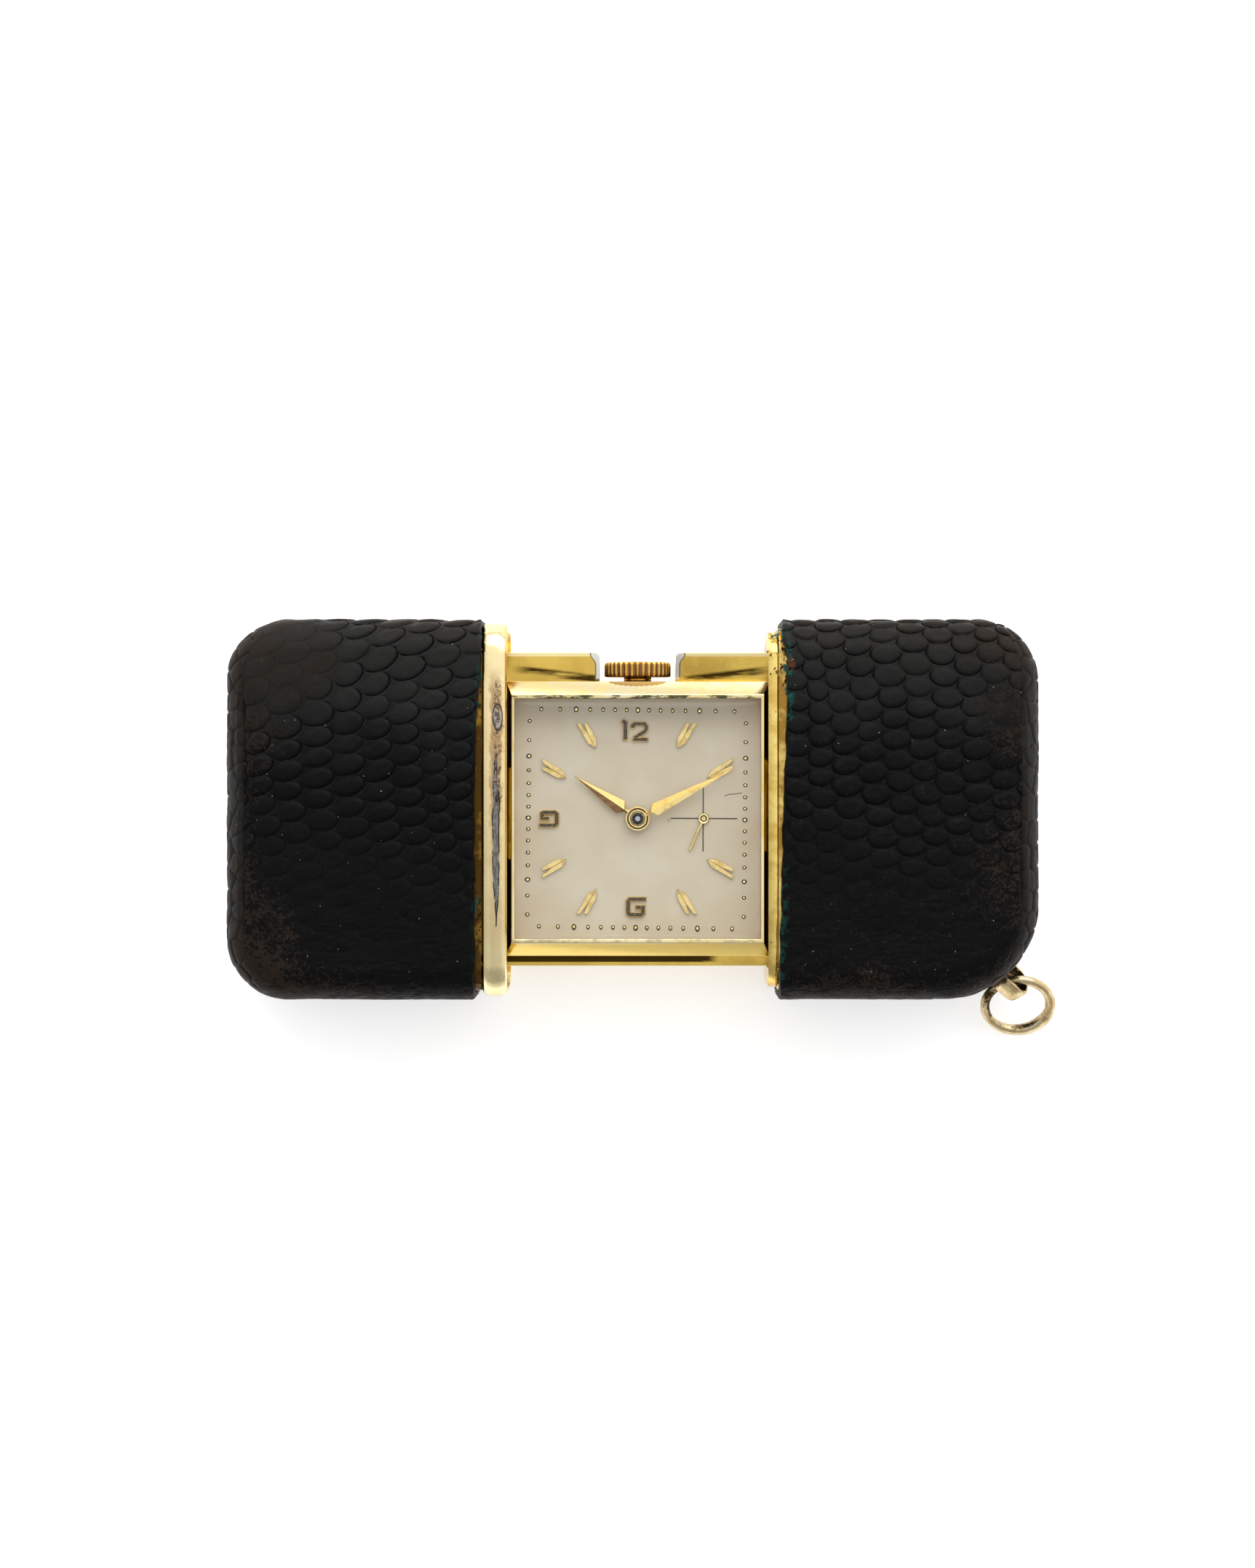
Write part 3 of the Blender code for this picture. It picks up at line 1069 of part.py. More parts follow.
def going_train():
    arbor = (ARBOR_RADIUS, ARBOR_LOW_Z, ARBOR_HIGH_Z)
    barrel_turn, centre_pinion_turn = mesh_turns(BARREL_AT, CENTRE_AT, CENTRE_PINION_TEETH)
    barrel_module = module_between(BARREL_AT, CENTRE_AT, BARREL_TEETH, CENTRE_PINION_TEETH)
    centre_turn, third_pinion_turn = mesh_turns(CENTRE_AT, THIRD_AT, THIRD_PINION_TEETH)
    centre_module = module_between(CENTRE_AT, THIRD_AT, CENTRE_TEETH, THIRD_PINION_TEETH)
    third_turn, fourth_pinion_turn = mesh_turns(THIRD_AT, FOURTH_AT, FOURTH_PINION_TEETH)
    third_module = module_between(THIRD_AT, FOURTH_AT, THIRD_TEETH, FOURTH_PINION_TEETH)
    fourth_turn, escape_pinion_turn = mesh_turns(FOURTH_AT, escape_place(), ESCAPE_PINION_TEETH)

    centre_arbor = (CENTRE_ARBOR, ARBOR_LOW_Z, POST_TOP_Z + FINE_GAP)
    centre = wheel("center_wheel", BRASS, CENTRE_AT, LOW_WHEEL_Z, CENTRE_TEETH, centre_module, centre_turn,
                   centre_arbor)
    add_pinion(centre, CENTRE_AT, BARREL_TOOTH_Z - FINE_GAP, BARREL_TOP_Z + FINE_GAP, CENTRE_PINION_TEETH,
               barrel_module, centre_pinion_turn)
    third = wheel("third_wheel", BRASS, THIRD_AT, THIRD_WHEEL_Z, THIRD_TEETH, third_module, third_turn, arbor)
    add_pinion(third, THIRD_AT, LOW_WHEEL_Z - OVERLAP, LOW_WHEEL_Z + WHEEL_THICKNESS + OVERLAP,
               THIRD_PINION_TEETH, centre_module, third_pinion_turn)
    fourth_arbor = (ARBOR_RADIUS, ARBOR_LOW_Z, SECONDS_HAND_Z + SECONDS_HAND_THICKNESS)
    fourth = wheel("fourth_wheel", BRASS, FOURTH_AT, HIGH_WHEEL_Z, FOURTH_TEETH, ESCAPE_MODULE, fourth_turn,
                   fourth_arbor)
    add_pinion(fourth, FOURTH_AT, THIRD_WHEEL_Z - OVERLAP, THIRD_WHEEL_Z + WHEEL_THICKNESS + OVERLAP,
               FOURTH_PINION_TEETH, third_module, fourth_pinion_turn)
    escape_wheel(escape_pinion_turn, arbor)
    barrel(barrel_module, barrel_turn)


def escape_wheel(pinion_turn, arbor):
    """Hooked teeth, all leaning one way."""
    step = math.tau / ESCAPE_TEETH
    root = ESCAPE_RADIUS * 0.72
    points = []
    for tooth in range(ESCAPE_TEETH):
        middle = step * tooth
        points += [polar(root, middle - step * 0.3), polar(ESCAPE_RADIUS, middle),
                   polar(root, middle + step * 0.12)]
    made = plate("escape_wheel", [points], LOW_WHEEL_Z, LOW_WHEEL_Z + WHEEL_THICKNESS, STEEL)
    join(made, rod("escape_arbor", arbor[0], (0, 0, arbor[1]), (0, 0, arbor[2]), STEEL, 10))
    made.location = (*escape_place(), 0.0)
    add_pinion(made, escape_place(), HIGH_WHEEL_Z - OVERLAP, HIGH_WHEEL_Z + WHEEL_THICKNESS + OVERLAP,
               ESCAPE_PINION_TEETH, ESCAPE_MODULE, pinion_turn)


def barrel(module, turn):
    """Toothed drum, open towards the bridge, with the spring and its arbor inside."""
    drum_radius = module * (BARREL_TEETH / 2 - DEDENDUM_SHARE)
    teeth = gear_outline(BARREL_TEETH, module, (0.0, 0.0), turn)
    bore = circle(BARREL_ARBOR + PIVOT_GAP, sides=12)
    drum = plate("barrel", [teeth, bore], BARREL_TOOTH_Z, BARREL_TOP_Z, BRASS)
    wall = [circle(drum_radius, sides=24), circle(drum_radius - BARREL_WALL, sides=24)]
    join(drum, plate("barrel_wall", wall, BARREL_Z, BARREL_TOOTH_Z + OVERLAP, BRASS))
    drum.location = (*BARREL_AT, 0.0)
    low, high = BARREL_Z + FINE_GAP, BARREL_TOOTH_Z - FINE_GAP
    outer = drum_radius - BARREL_WALL - FINE_GAP - SPRING_STRIP
    spring = spiral("mainspring", BARREL_ARBOR + FINE_GAP + SPRING_STRIP, outer, SPRING_TURNS, SPRING_STRIP,
                    low, high, 12, STEEL)
    spring.location = (*BARREL_AT, 0.0)
    arbor = rod("barrel_arbor", BARREL_ARBOR, (0, 0, BRIDGE_Z + BRIDGE_THICKNESS + FINE_GAP),
                (0, 0, MOTION_RECESS_Z), STEEL, 16)
    join(arbor, rod("ratchet_square", RATCHET_SQUARE, (0, 0, RATCHET_Z), (0, 0, BARREL_Z), STEEL, 8))
    arbor.location = (*BARREL_AT, 0.0)


def spiral(name, inner, outer, turns, strip, low, high, sides, surface):
    """A flat coiled strip, standing on edge."""
    count = turns * sides
    near, far = [], []
    for index in range(count + 1):
        share = index / count
        radius = inner + (outer - inner) * share
        angle = math.tau * index / sides
        near.append(polar(radius - strip / 2, angle))
        far.append(polar(radius + strip / 2, angle))
    return plate(name, [near + far[::-1]], low, high, surface)


def motion_work():
    recess = module_between(CENTRE_AT, MINUTE_WHEEL_AT, CANNON_TEETH, MINUTE_WHEEL_TEETH)
    hour_module = module_between(CENTRE_AT, MINUTE_WHEEL_AT, HOUR_WHEEL_TEETH, MINUTE_PINION_TEETH)
    minute_turn, cannon_turn = mesh_turns(MINUTE_WHEEL_AT, CENTRE_AT, CANNON_TEETH)
    hour_turn, pinion_turn = mesh_turns(CENTRE_AT, MINUTE_WHEEL_AT, MINUTE_PINION_TEETH)
    post = (ARBOR_RADIUS, MOTION_RECESS_Z + FINE_GAP, HOUR_WHEEL_Z + MOTION_WHEEL_THICKNESS + OVERLAP)
    minute = wheel("minute_wheel", BRASS, MINUTE_WHEEL_AT, MINUTE_WHEEL_Z, MINUTE_WHEEL_TEETH, recess,
                   minute_turn, post, 3, MOTION_WHEEL_THICKNESS)
    add_pinion(minute, MINUTE_WHEEL_AT, HOUR_WHEEL_Z - OVERLAP, post[2], MINUTE_PINION_TEETH, hour_module,
               pinion_turn)
    bore = circle(CANNON_INNER, sides=12)
    low = MINUTE_WHEEL_Z - OVERLAP
    cannon = plate("cannon_pinion", [circle(CANNON_OUTER, sides=16), bore], low, POST_TOP_Z, STEEL)
    leaves = gear_outline(CANNON_TEETH, recess, (0.0, 0.0), cannon_turn)
    top = MINUTE_WHEEL_Z + MOTION_WHEEL_THICKNESS + OVERLAP
    join(cannon, plate("cannon_leaves", [leaves, bore], low, top, STEEL))
    teeth = gear_outline(HOUR_WHEEL_TEETH, hour_module, (0.0, 0.0), hour_turn)
    bore = circle(HOUR_TUBE_INNER, sides=16)
    hour = plate("hour_wheel", [teeth, bore], HOUR_WHEEL_Z, HOUR_WHEEL_Z + MOTION_WHEEL_THICKNESS, BRASS)
    tube = plate("hour_tube", [circle(HOUR_TUBE_OUTER, sides=16), bore], HOUR_WHEEL_Z,
                 HOUR_HAND_Z + HAND_THICKNESS, BRASS)
    join(hour, tube)


def pallet_fork():
    """Lever with two pallets beside the escape wheel and a fork near the balance staff."""
    staff = Vector(BALANCE_AT)
    pivot = Vector(pallet_place())
    reach = (staff - pivot).length - PALLET_STAFF_ROOM
    half = PALLET_WIDTH / 2
    low, high = LOW_WHEEL_Z + OVERLAP, LOW_WHEEL_Z + WHEEL_THICKNESS
    upper = [(reach, half), (reach, 2 * half), (reach - 3 * half, 2 * half), (reach - 5 * half, half),
             (0.0, half)]
    lever = upper + [(x, -y) for x, y in reversed(upper)] + [(reach - 2 * half, 0.0)]
    fork = plate("pallet_fork", [lever], low, high, STEEL)
    fork.data.transform(Matrix.Rotation(math.atan2(staff.y - pivot.y, staff.x - pivot.x), 4, "Z"))
    tip = PALLET_REACH - ESCAPE_RADIUS
    arms = [(-half, -PALLET_ARM - half), (tip, -PALLET_ARM - half), (tip, half - PALLET_ARM),
            (half, half - PALLET_ARM), (half, PALLET_ARM - half), (tip, PALLET_ARM - half),
            (tip, PALLET_ARM + half), (-half, PALLET_ARM + half)]
    pallets = plate("pallets", [arms], low, high, STEEL)
    pallets.data.transform(Matrix.Rotation(PALLET_DIRECTION + math.pi, 4, "Z"))
    join(fork, pallets)
    join(fork, rod("pallet_arbor", ARBOR_RADIUS, (0, 0, ARBOR_LOW_Z), (0, 0, ARBOR_HIGH_Z), STEEL, 10))
    fork.location = (*pivot, 0.0)


def balance():
    rim = [circle(BALANCE_RADIUS, sides=28), circle(BALANCE_RADIUS - BALANCE_RIM, sides=28)]
    low, high = HIGH_WHEEL_Z, HIGH_WHEEL_Z + WHEEL_THICKNESS * 1.6
    made = plate("balance_wheel", rim, low, high, BRASS)
    reach = BALANCE_RADIUS - BALANCE_RIM / 2
    half = BALANCE_SPOKE / 2
    join(made, box("balance_arm", (-reach, -half, low + OVERLAP), (reach, half, high - OVERLAP), BRASS))
    join(made, rod("balance_staff", ARBOR_RADIUS, (0, 0, ARBOR_LOW_Z), (0, 0, ARBOR_HIGH_Z), STEEL, 10))
    made.location = (*BALANCE_AT, 0.0)
    hair = spiral("hairspring", HAIRSPRING_INNER, HAIRSPRING_OUTER, HAIRSPRING_TURNS, HAIRSPRING_STRIP,
                  HAIRSPRING_Z, HAIRSPRING_Z + HAIRSPRING_HEIGHT, 12, BLUED)
    hair.location = (*BALANCE_AT, 0.0)


def main_plate():
    pivots = [THIRD_AT, escape_place(), pallet_place(), BALANCE_AT]
    holes = [circle(ARBOR_RADIUS + PIVOT_GAP, place, 10) for place in pivots]
    holes += [circle(CANNON_INNER + PIVOT_GAP, CENTRE_AT, 12), circle(ARBOR_RADIUS + PIVOT_GAP, FOURTH_AT, 10),
              circle(BARREL_ARBOR + PIVOT_GAP, BARREL_AT, 12)]
    made = plate("main_plate", [circle(PLATE_RADIUS, sides=36)] + holes, MAIN_PLATE_Z, MAIN_PLATE_TOP_Z, NICKEL)
    module = module_between(CENTRE_AT, MINUTE_WHEEL_AT, HOUR_WHEEL_TEETH, MINUTE_PINION_TEETH)
    for place, teeth in ((CENTRE_AT, HOUR_WHEEL_TEETH), (MINUTE_WHEEL_AT, MINUTE_WHEEL_TEETH)):
        radius = module * (teeth / 2 + 1) + FINE_GAP
        top = (*place, MAIN_PLATE_TOP_Z + OVERRUN)
        cut(made, rod("motion_recess", radius, (*place, MOTION_RECESS_Z), top, NICKEL, 16))


def bridge(name, outline, holes, feet):
    """A bridge plate with pivot holes and round feet that reach the main plate."""
    loops = [outline] + [circle(radius, place, 10) for place, radius in holes]
    made = plate(name, loops, BRIDGE_Z, BRIDGE_Z + BRIDGE_THICKNESS, NICKEL)
    low = BRIDGE_Z + BRIDGE_THICKNESS - OVERLAP
    for place in feet:
        foot = rod("bridge_foot", FOOT_RADIUS, (*place, low), (*place, MAIN_PLATE_Z - FINE_GAP), NICKEL, 12)
        join(made, foot)


def rim_arc(span, steps):
    start, end = (math.radians(angle) for angle in span)
    return [polar(BRIDGE_RADIUS, start + (end - start) * step / steps) for step in range(steps + 1)]


def bridges():
    pivot = ARBOR_RADIUS + PIVOT_GAP
    foot_circle = BRIDGE_RADIUS - FOOT_RADIUS * 1.4
    holes = [(BARREL_AT, RATCHET_SQUARE + PIVOT_GAP), (CROWN_WHEEL_AT, ARBOR_RADIUS + PIVOT_GAP)]
    feet = [polar(foot_circle, math.radians(angle)) for angle in BARREL_BRIDGE_FEET]
    bridge("barrel_bridge", rim_arc(BARREL_BRIDGE_SPAN, 14), holes, feet)
    inner = [(BRIDGE_RADIUS * x, BRIDGE_RADIUS * y) for x, y in TRAIN_BRIDGE_EDGE_SHARES]
    holes = [(CENTRE_AT, CENTRE_ARBOR + PIVOT_GAP), (THIRD_AT, pivot), (FOURTH_AT, pivot),
             (escape_place(), pivot), (pallet_place(), pivot)]
    feet = [polar(foot_circle, math.radians(angle)) for angle in TRAIN_BRIDGE_FEET]
    bridge("train_bridge", rim_arc(TRAIN_BRIDGE_SPAN, 10) + inner, holes, feet)
    staff = Vector(BALANCE_AT)
    tongue = [tuple(staff + Vector(polar(FOOT_RADIUS * 2, math.radians(angle)))) for angle in TONGUE_ANGLES]
    feet = [polar(foot_circle, math.radians(angle)) for angle in BALANCE_COCK_FEET]
    bridge("balance_cock", rim_arc(BALANCE_COCK_SPAN, 5) + tongue[::-1], [(BALANCE_AT, pivot)], feet)


# Inner edge of the train bridge, as shares of the bridges' radius
TRAIN_BRIDGE_EDGE_SHARES = [(-0.1, 0.17), (-0.14, -0.1), (0.2, -0.42), (0.5, -0.56)]


def winding():
    """Ratchet and crown wheels on the back of the bridge, stem, clutch wheel and crown."""
    module = module_between(BARREL_AT, CROWN_WHEEL_AT, RATCHET_TEETH, CROWN_WHEEL_TEETH)
    ratchet_turn, crown_turn = mesh_turns(BARREL_AT, CROWN_WHEEL_AT, CROWN_WHEEL_TEETH)
    teeth = gear_outline(RATCHET_TEETH, module, (0.0, 0.0), ratchet_turn)
    bore = circle(RATCHET_SQUARE + OVERLAP, sides=8)
    ratchet = plate("ratchet_wheel", [teeth, bore], RATCHET_Z, RATCHET_Z + RATCHET_THICKNESS, STEEL)
    ratchet.location = (*BARREL_AT, 0.0)
    teeth = gear_outline(CROWN_WHEEL_TEETH, module, (0.0, 0.0), crown_turn)
    crown_wheel = plate("crown_wheel", [teeth], RATCHET_Z, RATCHET_Z + RATCHET_THICKNESS, STEEL)
    high = BRIDGE_Z + BRIDGE_THICKNESS
    low = RATCHET_Z + OVERLAP
    join(crown_wheel, rod("crown_wheel_pivot", ARBOR_RADIUS, (0, 0, low), (0, 0, high), STEEL, 10))
    crown_wheel.location = (*CROWN_WHEEL_AT, 0.0)

    rod("stem", STEM_RADIUS, (0, STEM_END_Y, STEM_Z), (0, CROWN_NECK_START - FINE_GAP, STEM_Z), STEEL, 12)
    crown()
    outline = gear_outline(10, 2 * CLUTCH_RADIUS / 10, (0.0, 0.0), 0.0)
    bore = circle(STEM_RADIUS + OVERLAP, sides=12)
    clutch = plate("clutch_wheel", [outline, bore], 0.0, CLUTCH_LENGTH, STEEL)
    stand_on_stem(clutch, CLUTCH_Y)


def stand_on_stem(piece, start_y):
    """Lay a piece that was made upright along the stem, from start_y outwards."""
    piece.data.transform(Matrix.Rotation(math.radians(-90.0), 4, "X"))
    piece.data.transform(Matrix.Translation((0.0, start_y, 0.0)))
    piece.location = (0.0, 0.0, STEM_Z)


def crown():
    """Knurled disc with a domed top on a round neck."""
    body = CROWN_THICKNESS - CROWN_DOME
    points = []
    step = math.tau / CROWN_KNURLS
    for ridge in range(CROWN_KNURLS):
        points.append(polar(CROWN_RADIUS, step * (ridge - 0.22)))
        points.append(polar(CROWN_RADIUS, step * (ridge + 0.22)))
        points.append(polar(CROWN_RADIUS - CROWN_KNURL, step * (ridge + 0.5)))
    made = plate("crown", [points], 0.0, body, GILT)
    builder = bmesh.new()
    edge = CROWN_RADIUS * 0.9
    slopes = [math.pi / 2 * row / CROWN_DOME_ROWS for row in range(CROWN_DOME_ROWS + 1)]
    profile = [(edge * math.sin(slope), CROWN_DOME * math.cos(slope)) for slope in slopes]
    profile += [(edge, -OVERLAP), (0.0, -OVERLAP)]
    verts = [builder.verts.new((radius, 0.0, height)) for radius, height in profile]
    for first, second in zip(verts, verts[1:]):
        builder.edges.new((first, second))
    mesh = bpy.data.meshes.new("crown_dome")
    builder.to_mesh(mesh)
    builder.free()
    dome = bpy.data.objects.new("crown_dome", mesh)
    CLOCK.objects.link(dome)
    turn = dome.modifiers.new("turn", "SCREW")
    turn.steps = 16
    turn.render_steps = 16
    turn.use_merge_vertices = True
    turn.merge_threshold = WELD
    dome.location.z = body
    bpy.context.view_layer.update()
    join(made, dome)
    neck = CROWN_Y - CROWN_NECK_START
    join(made, rod("crown_neck", CROWN_NECK, (0, 0, -neck), (0, 0, OVERLAP), GILT, 16))
    stand_on_stem(made, CROWN_Y)


def build_covers():
    cover("left", LEFT_END, 1, (PLAN_RADIUS, PLAN_RADIUS), LEFT_LEATHER_SETBACK, -OPENING_HALF,
          -OPENING_HALF - BEAD_WIDTH - FINE_GAP)
    cover("right", RIGHT_END, -1, (RING_CORNER_RADIUS, PLAN_RADIUS), RIGHT_LEATHER_SETBACK, OPENING_HALF,
          OPENING_HALF + RIM_WIDTH + FINE_GAP)
    leather = bpy.data.objects["right_leather"]
    cut(leather, bail_slot())
    left_bead()
    right_rim()
    bail()
    chain_ring()


def build_carriage():
    carriage_frame()
    back_plate()
    strut()
    rack_pinion()
    rack_end = CAVITY_STEP + FINE_GAP
    rack("left_rack", -1, 0.5, LEFT_END + rack_end)
    rack("right_rack", 1, 0.0, RIGHT_END - rack_end)
    friction_spring("left_friction_spring", -1)
    friction_spring("right_friction_spring", 1)


def build_watch():
    case_band()
    watch_back()
    bezel()
    crystal()
    dial()
    for hour in (1, 2, 4, 5, 7, 8, 10, 11):
        marker(hour)
    numerals()
    hands()


def build_movement():
    main_plate()
    bridges()
    going_train()
    motion_work()
    pallet_fork()
    balance()
    winding()


build_covers()
build_carriage()
build_watch()
build_movement()
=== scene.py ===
import math
import random

import bmesh
import bpy
import numpy as np
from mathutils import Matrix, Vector
from mathutils.kdtree import KDTree


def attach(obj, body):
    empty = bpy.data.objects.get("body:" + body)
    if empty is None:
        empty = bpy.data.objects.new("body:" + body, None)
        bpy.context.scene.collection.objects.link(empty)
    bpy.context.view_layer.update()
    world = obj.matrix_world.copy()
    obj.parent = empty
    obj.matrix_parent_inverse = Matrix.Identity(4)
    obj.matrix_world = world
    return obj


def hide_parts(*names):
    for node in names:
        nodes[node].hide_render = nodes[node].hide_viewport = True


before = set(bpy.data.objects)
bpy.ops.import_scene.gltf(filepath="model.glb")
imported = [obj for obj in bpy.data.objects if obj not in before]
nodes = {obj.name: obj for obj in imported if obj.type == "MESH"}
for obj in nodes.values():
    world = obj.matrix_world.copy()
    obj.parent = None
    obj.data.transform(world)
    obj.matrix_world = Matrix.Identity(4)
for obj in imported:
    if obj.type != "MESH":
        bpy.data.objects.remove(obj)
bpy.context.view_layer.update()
mm = 0.001
print("frame loaded:", len(nodes), "nodes")


# one output inside a node tree, so that shading is written as plain sums
class Wire:
    def __init__(self, socket):
        self.socket = socket

    def __add__(self, other):
        return maths("ADD", self, other)

    def __radd__(self, other):
        return maths("ADD", other, self)

    def __sub__(self, other):
        return maths("SUBTRACT", self, other)

    def __rsub__(self, other):
        return maths("SUBTRACT", other, self)

    def __mul__(self, other):
        return maths("MULTIPLY", self, other)

    def __truediv__(self, other):
        return maths("DIVIDE", self, other)

    def __pow__(self, other):
        return maths("POWER", self, other)

    def __abs__(self):
        return maths("ABSOLUTE", self)


# a wire is linked to the socket, anything else becomes its value
def plug(socket, value):
    if isinstance(value, Wire):
        socket.id_data.links.new(value.socket, socket)
    elif socket.type == "RGBA":
        socket.default_value = (*value[:3], 1.0)
    else:
        socket.default_value = value


def addNode(tree, kind, values=None, **settings):
    made = tree.nodes.new(kind)
    for name, value in settings.items():
        setattr(made, name, value)
    for name, value in (values or {}).items():
        plug(made.inputs[name], value)
    return made


def wire(tree, kind, values, output=0, **settings):
    return Wire(addNode(tree, kind, values, **settings).outputs[output])


def treeOf(*values):
    return next(value.socket.id_data for value in values if isinstance(value, Wire))


def maths(operation, first, second=0.0, clamp=False):
    return wire(treeOf(first, second), "ShaderNodeMath", {0: first, 1: second},
                operation=operation, use_clamp=clamp)


def largest(first, *others):
    for other in others:
        first = maths("MAXIMUM", first, other)
    return first


# one for rays of the given kinds
def seenBy(tree, *rays):
    path = addNode(tree, "ShaderNodeLightPath")
    return largest(*[Wire(path.outputs[ray]) for ray in rays])


def ramp(value, low, high, toLow=0.0, toHigh=1.0):
    return wire(treeOf(value), "ShaderNodeMapRange", {0: value, 1: low, 2: high, 3: toLow, 4: toHigh},
                interpolation_type="SMOOTHSTEP")


# one between low and high, fading over soft outside them
def band(value, low, high, soft):
    return ramp(value, low - soft, low) * ramp(value, high + soft, high)


def mixColour(share, first, second):
    return wire(treeOf(share), "ShaderNodeMix", {0: share, 6: first, 7: second}, 2, data_type="RGBA")


# each layer is a mask and the colour that it lays over what lies below
def layered(colour, *layers):
    for mask, over in layers:
        colour = mixColour(mask, colour, over)
    return colour


def objectPlace(tree):
    return wire(tree, "ShaderNodeTexCoord", {}, "Object")


# size: width of one cloud in millimetres
def noise(tree, size, detail=3.0, stretch=(1.0, 1.0, 1.0), roughness=0.55):
    scaled = wire(tree, "ShaderNodeVectorMath", {0: objectPlace(tree), 1: stretch}, operation="MULTIPLY")
    return wire(tree, "ShaderNodeTexNoise",
                {"Vector": scaled, "Scale": 1 / (size * mm), "Detail": detail, "Roughness": roughness}, "Fac")


# object coordinates in millimetres
def along(tree, *axes):
    found = [wire(tree, "ShaderNodeSeparateXYZ", {0: objectPlace(tree)}, axis) * (1 / mm) for axis in axes]
    return found if len(axes) > 1 else found[0]


# value stored on the mesh by the piece's own code
def painted(tree, name):
    return wire(tree, "ShaderNodeAttribute", {}, "Fac", attribute_name=name)


def bump(height, distance, strength):
    return wire(treeOf(height), "ShaderNodeBump",
                {"Height": height, "Distance": distance * mm, "Strength": strength})


def newMaterial(name):
    made = bpy.data.materials.new(name)
    made.use_nodes = True
    return made, made.node_tree, made.node_tree.nodes["Principled BSDF"]


def setShader(shader, values):
    for name, value in values.items():
        plug(shader.inputs[name], value)


def setMetal(shader, colour, rough, height, depth, strength=0.6):
    setShader(shader, {"Base Color": colour, "Metallic": 1.0, "Roughness": rough,
                       "Normal": bump(height, depth, strength)})


def newGroup(name, inputs, outputs):
    group = bpy.data.node_groups.new(name, "ShaderNodeTree")
    for label, start in inputs.items():
        kind = "NodeSocketColor" if isinstance(start, tuple) else "NodeSocketFloat"
        group.interface.new_socket(label, in_out="INPUT", socket_type=kind).default_value = start
    for label, kind in outputs.items():
        group.interface.new_socket(label, in_out="OUTPUT", socket_type=kind)
    inside = addNode(group, "NodeGroupInput")
    return group, {label: Wire(inside.outputs[label]) for label in inputs}, addNode(group, "NodeGroupOutput")


# cloudy stain over a metal
def buildTarnish():
    group, given, result = newGroup(
        "tarnishCloud",
        {"Metal": (0.8, 0.6, 0.2, 1), "Stain": (0.2, 0.1, 0.03, 1), "Scale": 600.0, "Cover": 0.4},
        {"Color": "NodeSocketColor", "Mask": "NodeSocketFloat"})
    cloud = wire(group, "ShaderNodeTexNoise", {"Vector": objectPlace(group), "Scale": given["Scale"],
                                               "Detail": 6.0, "Roughness": 0.62}, "Fac")
    mask = maths("MULTIPLY", cloud - (1.0 - given["Cover"]) * 0.72, 6.0, True)
    plug(result.inputs["Color"], mixColour(mask, given["Metal"], given["Stain"]))
    plug(result.inputs["Mask"], mask)
    return group


# fine handling marks in three directions
def buildScratches():
    group, given, result = newGroup("fineScratches", {"Scale": 300.0, "Amount": 0.5},
                                    {"Mask": "NodeSocketFloat"})
    lines = []
    for turn, stretch in ((0.6, (1, 14, 3)), (-0.9, (12, 1, 3)), (2.1, (1, 10, 2))):
        turned = wire(group, "ShaderNodeVectorRotate", {"Vector": objectPlace(group), "Angle": turn},
                      rotation_type="Z_AXIS")
        thin = wire(group, "ShaderNodeVectorMath", {0: turned, 1: stretch}, operation="MULTIPLY")
        line = wire(group, "ShaderNodeTexNoise", {"Vector": thin, "Scale": given["Scale"], "Detail": 2.0},
                    "Fac")
        lines.append(ramp(line, 0.64, 0.7))
    plug(result.inputs["Mask"], largest(*lines) * given["Amount"])
    return group


# small grains of dust or dirt
def buildSpecks():
    group, given, result = newGroup("dustSpecks", {"Scale": 900.0, "Amount": 0.1},
                                    {"Mask": "NodeSocketFloat"})
    cells = addNode(group, "ShaderNodeTexVoronoi",
                    {"Vector": objectPlace(group), "Scale": given["Scale"], "Randomness": 1.0})
    grain = addNode(group, "ShaderNodeSeparateColor", {0: Wire(cells.outputs["Color"])})
    chosen = maths("LESS_THAN", Wire(grain.outputs[0]), given["Amount"])
    near = maths("LESS_THAN", Wire(cells.outputs["Distance"]), Wire(grain.outputs[1]) * 0.3)
    plug(result.inputs["Mask"], chosen * near)
    return group


tarnishCloud, fineScratches, dustSpecks = buildTarnish(), buildScratches(), buildSpecks()


# the stained colour and the stain's mask
def tarnish(tree, metal, stain, scale, cover):
    made = addNode(tree, "ShaderNodeGroup", {"Metal": metal, "Stain": stain, "Scale": scale, "Cover": cover},
                   node_tree=tarnishCloud)
    return Wire(made.outputs["Color"]), Wire(made.outputs["Mask"])


def scratches(tree, amount, scale=420.0):
    return wire(tree, "ShaderNodeGroup", {"Scale": scale, "Amount": amount}, node_tree=fineScratches)


def specks(tree, amount, scale=1700.0):
    return wire(tree, "ShaderNodeGroup", {"Scale": scale, "Amount": amount}, node_tree=dustSpecks)


print("shared effects ready")

# size turns shares of an oval into shares of the step between scales; uneven makes ovals larger and smaller
ovalLook = {"size": 0.485, "uneven": 0.07, "turnRank": 2.4, "turnPlace": 1.7}
leatherLook = {
    "low": (0.0012, 0.0013, 0.0018), "high": (0.0150, 0.0153, 0.0145), "creaseShade": (0.0004, 0.0004, 0.0006),
    "rust": (0.021, 0.0135, 0.0085), "tan": (0.095, 0.047, 0.018), "dust": (0.30, 0.29, 0.27),
    "web": (0.010, 0.0105, 0.010), "fine": (0.024, 0.0225, 0.0195), "torn": (0.10, 0.035, 0.014),
    "verdigris": (0.004, 0.075, 0.062), "roughness": 0.46, "specular": 0.085,
    "dustScale": 4600.0, "dustAmount": 0.010, "lineWide": 0.048, "lineCore": 0.018, "grainDeep": 0.045,
}


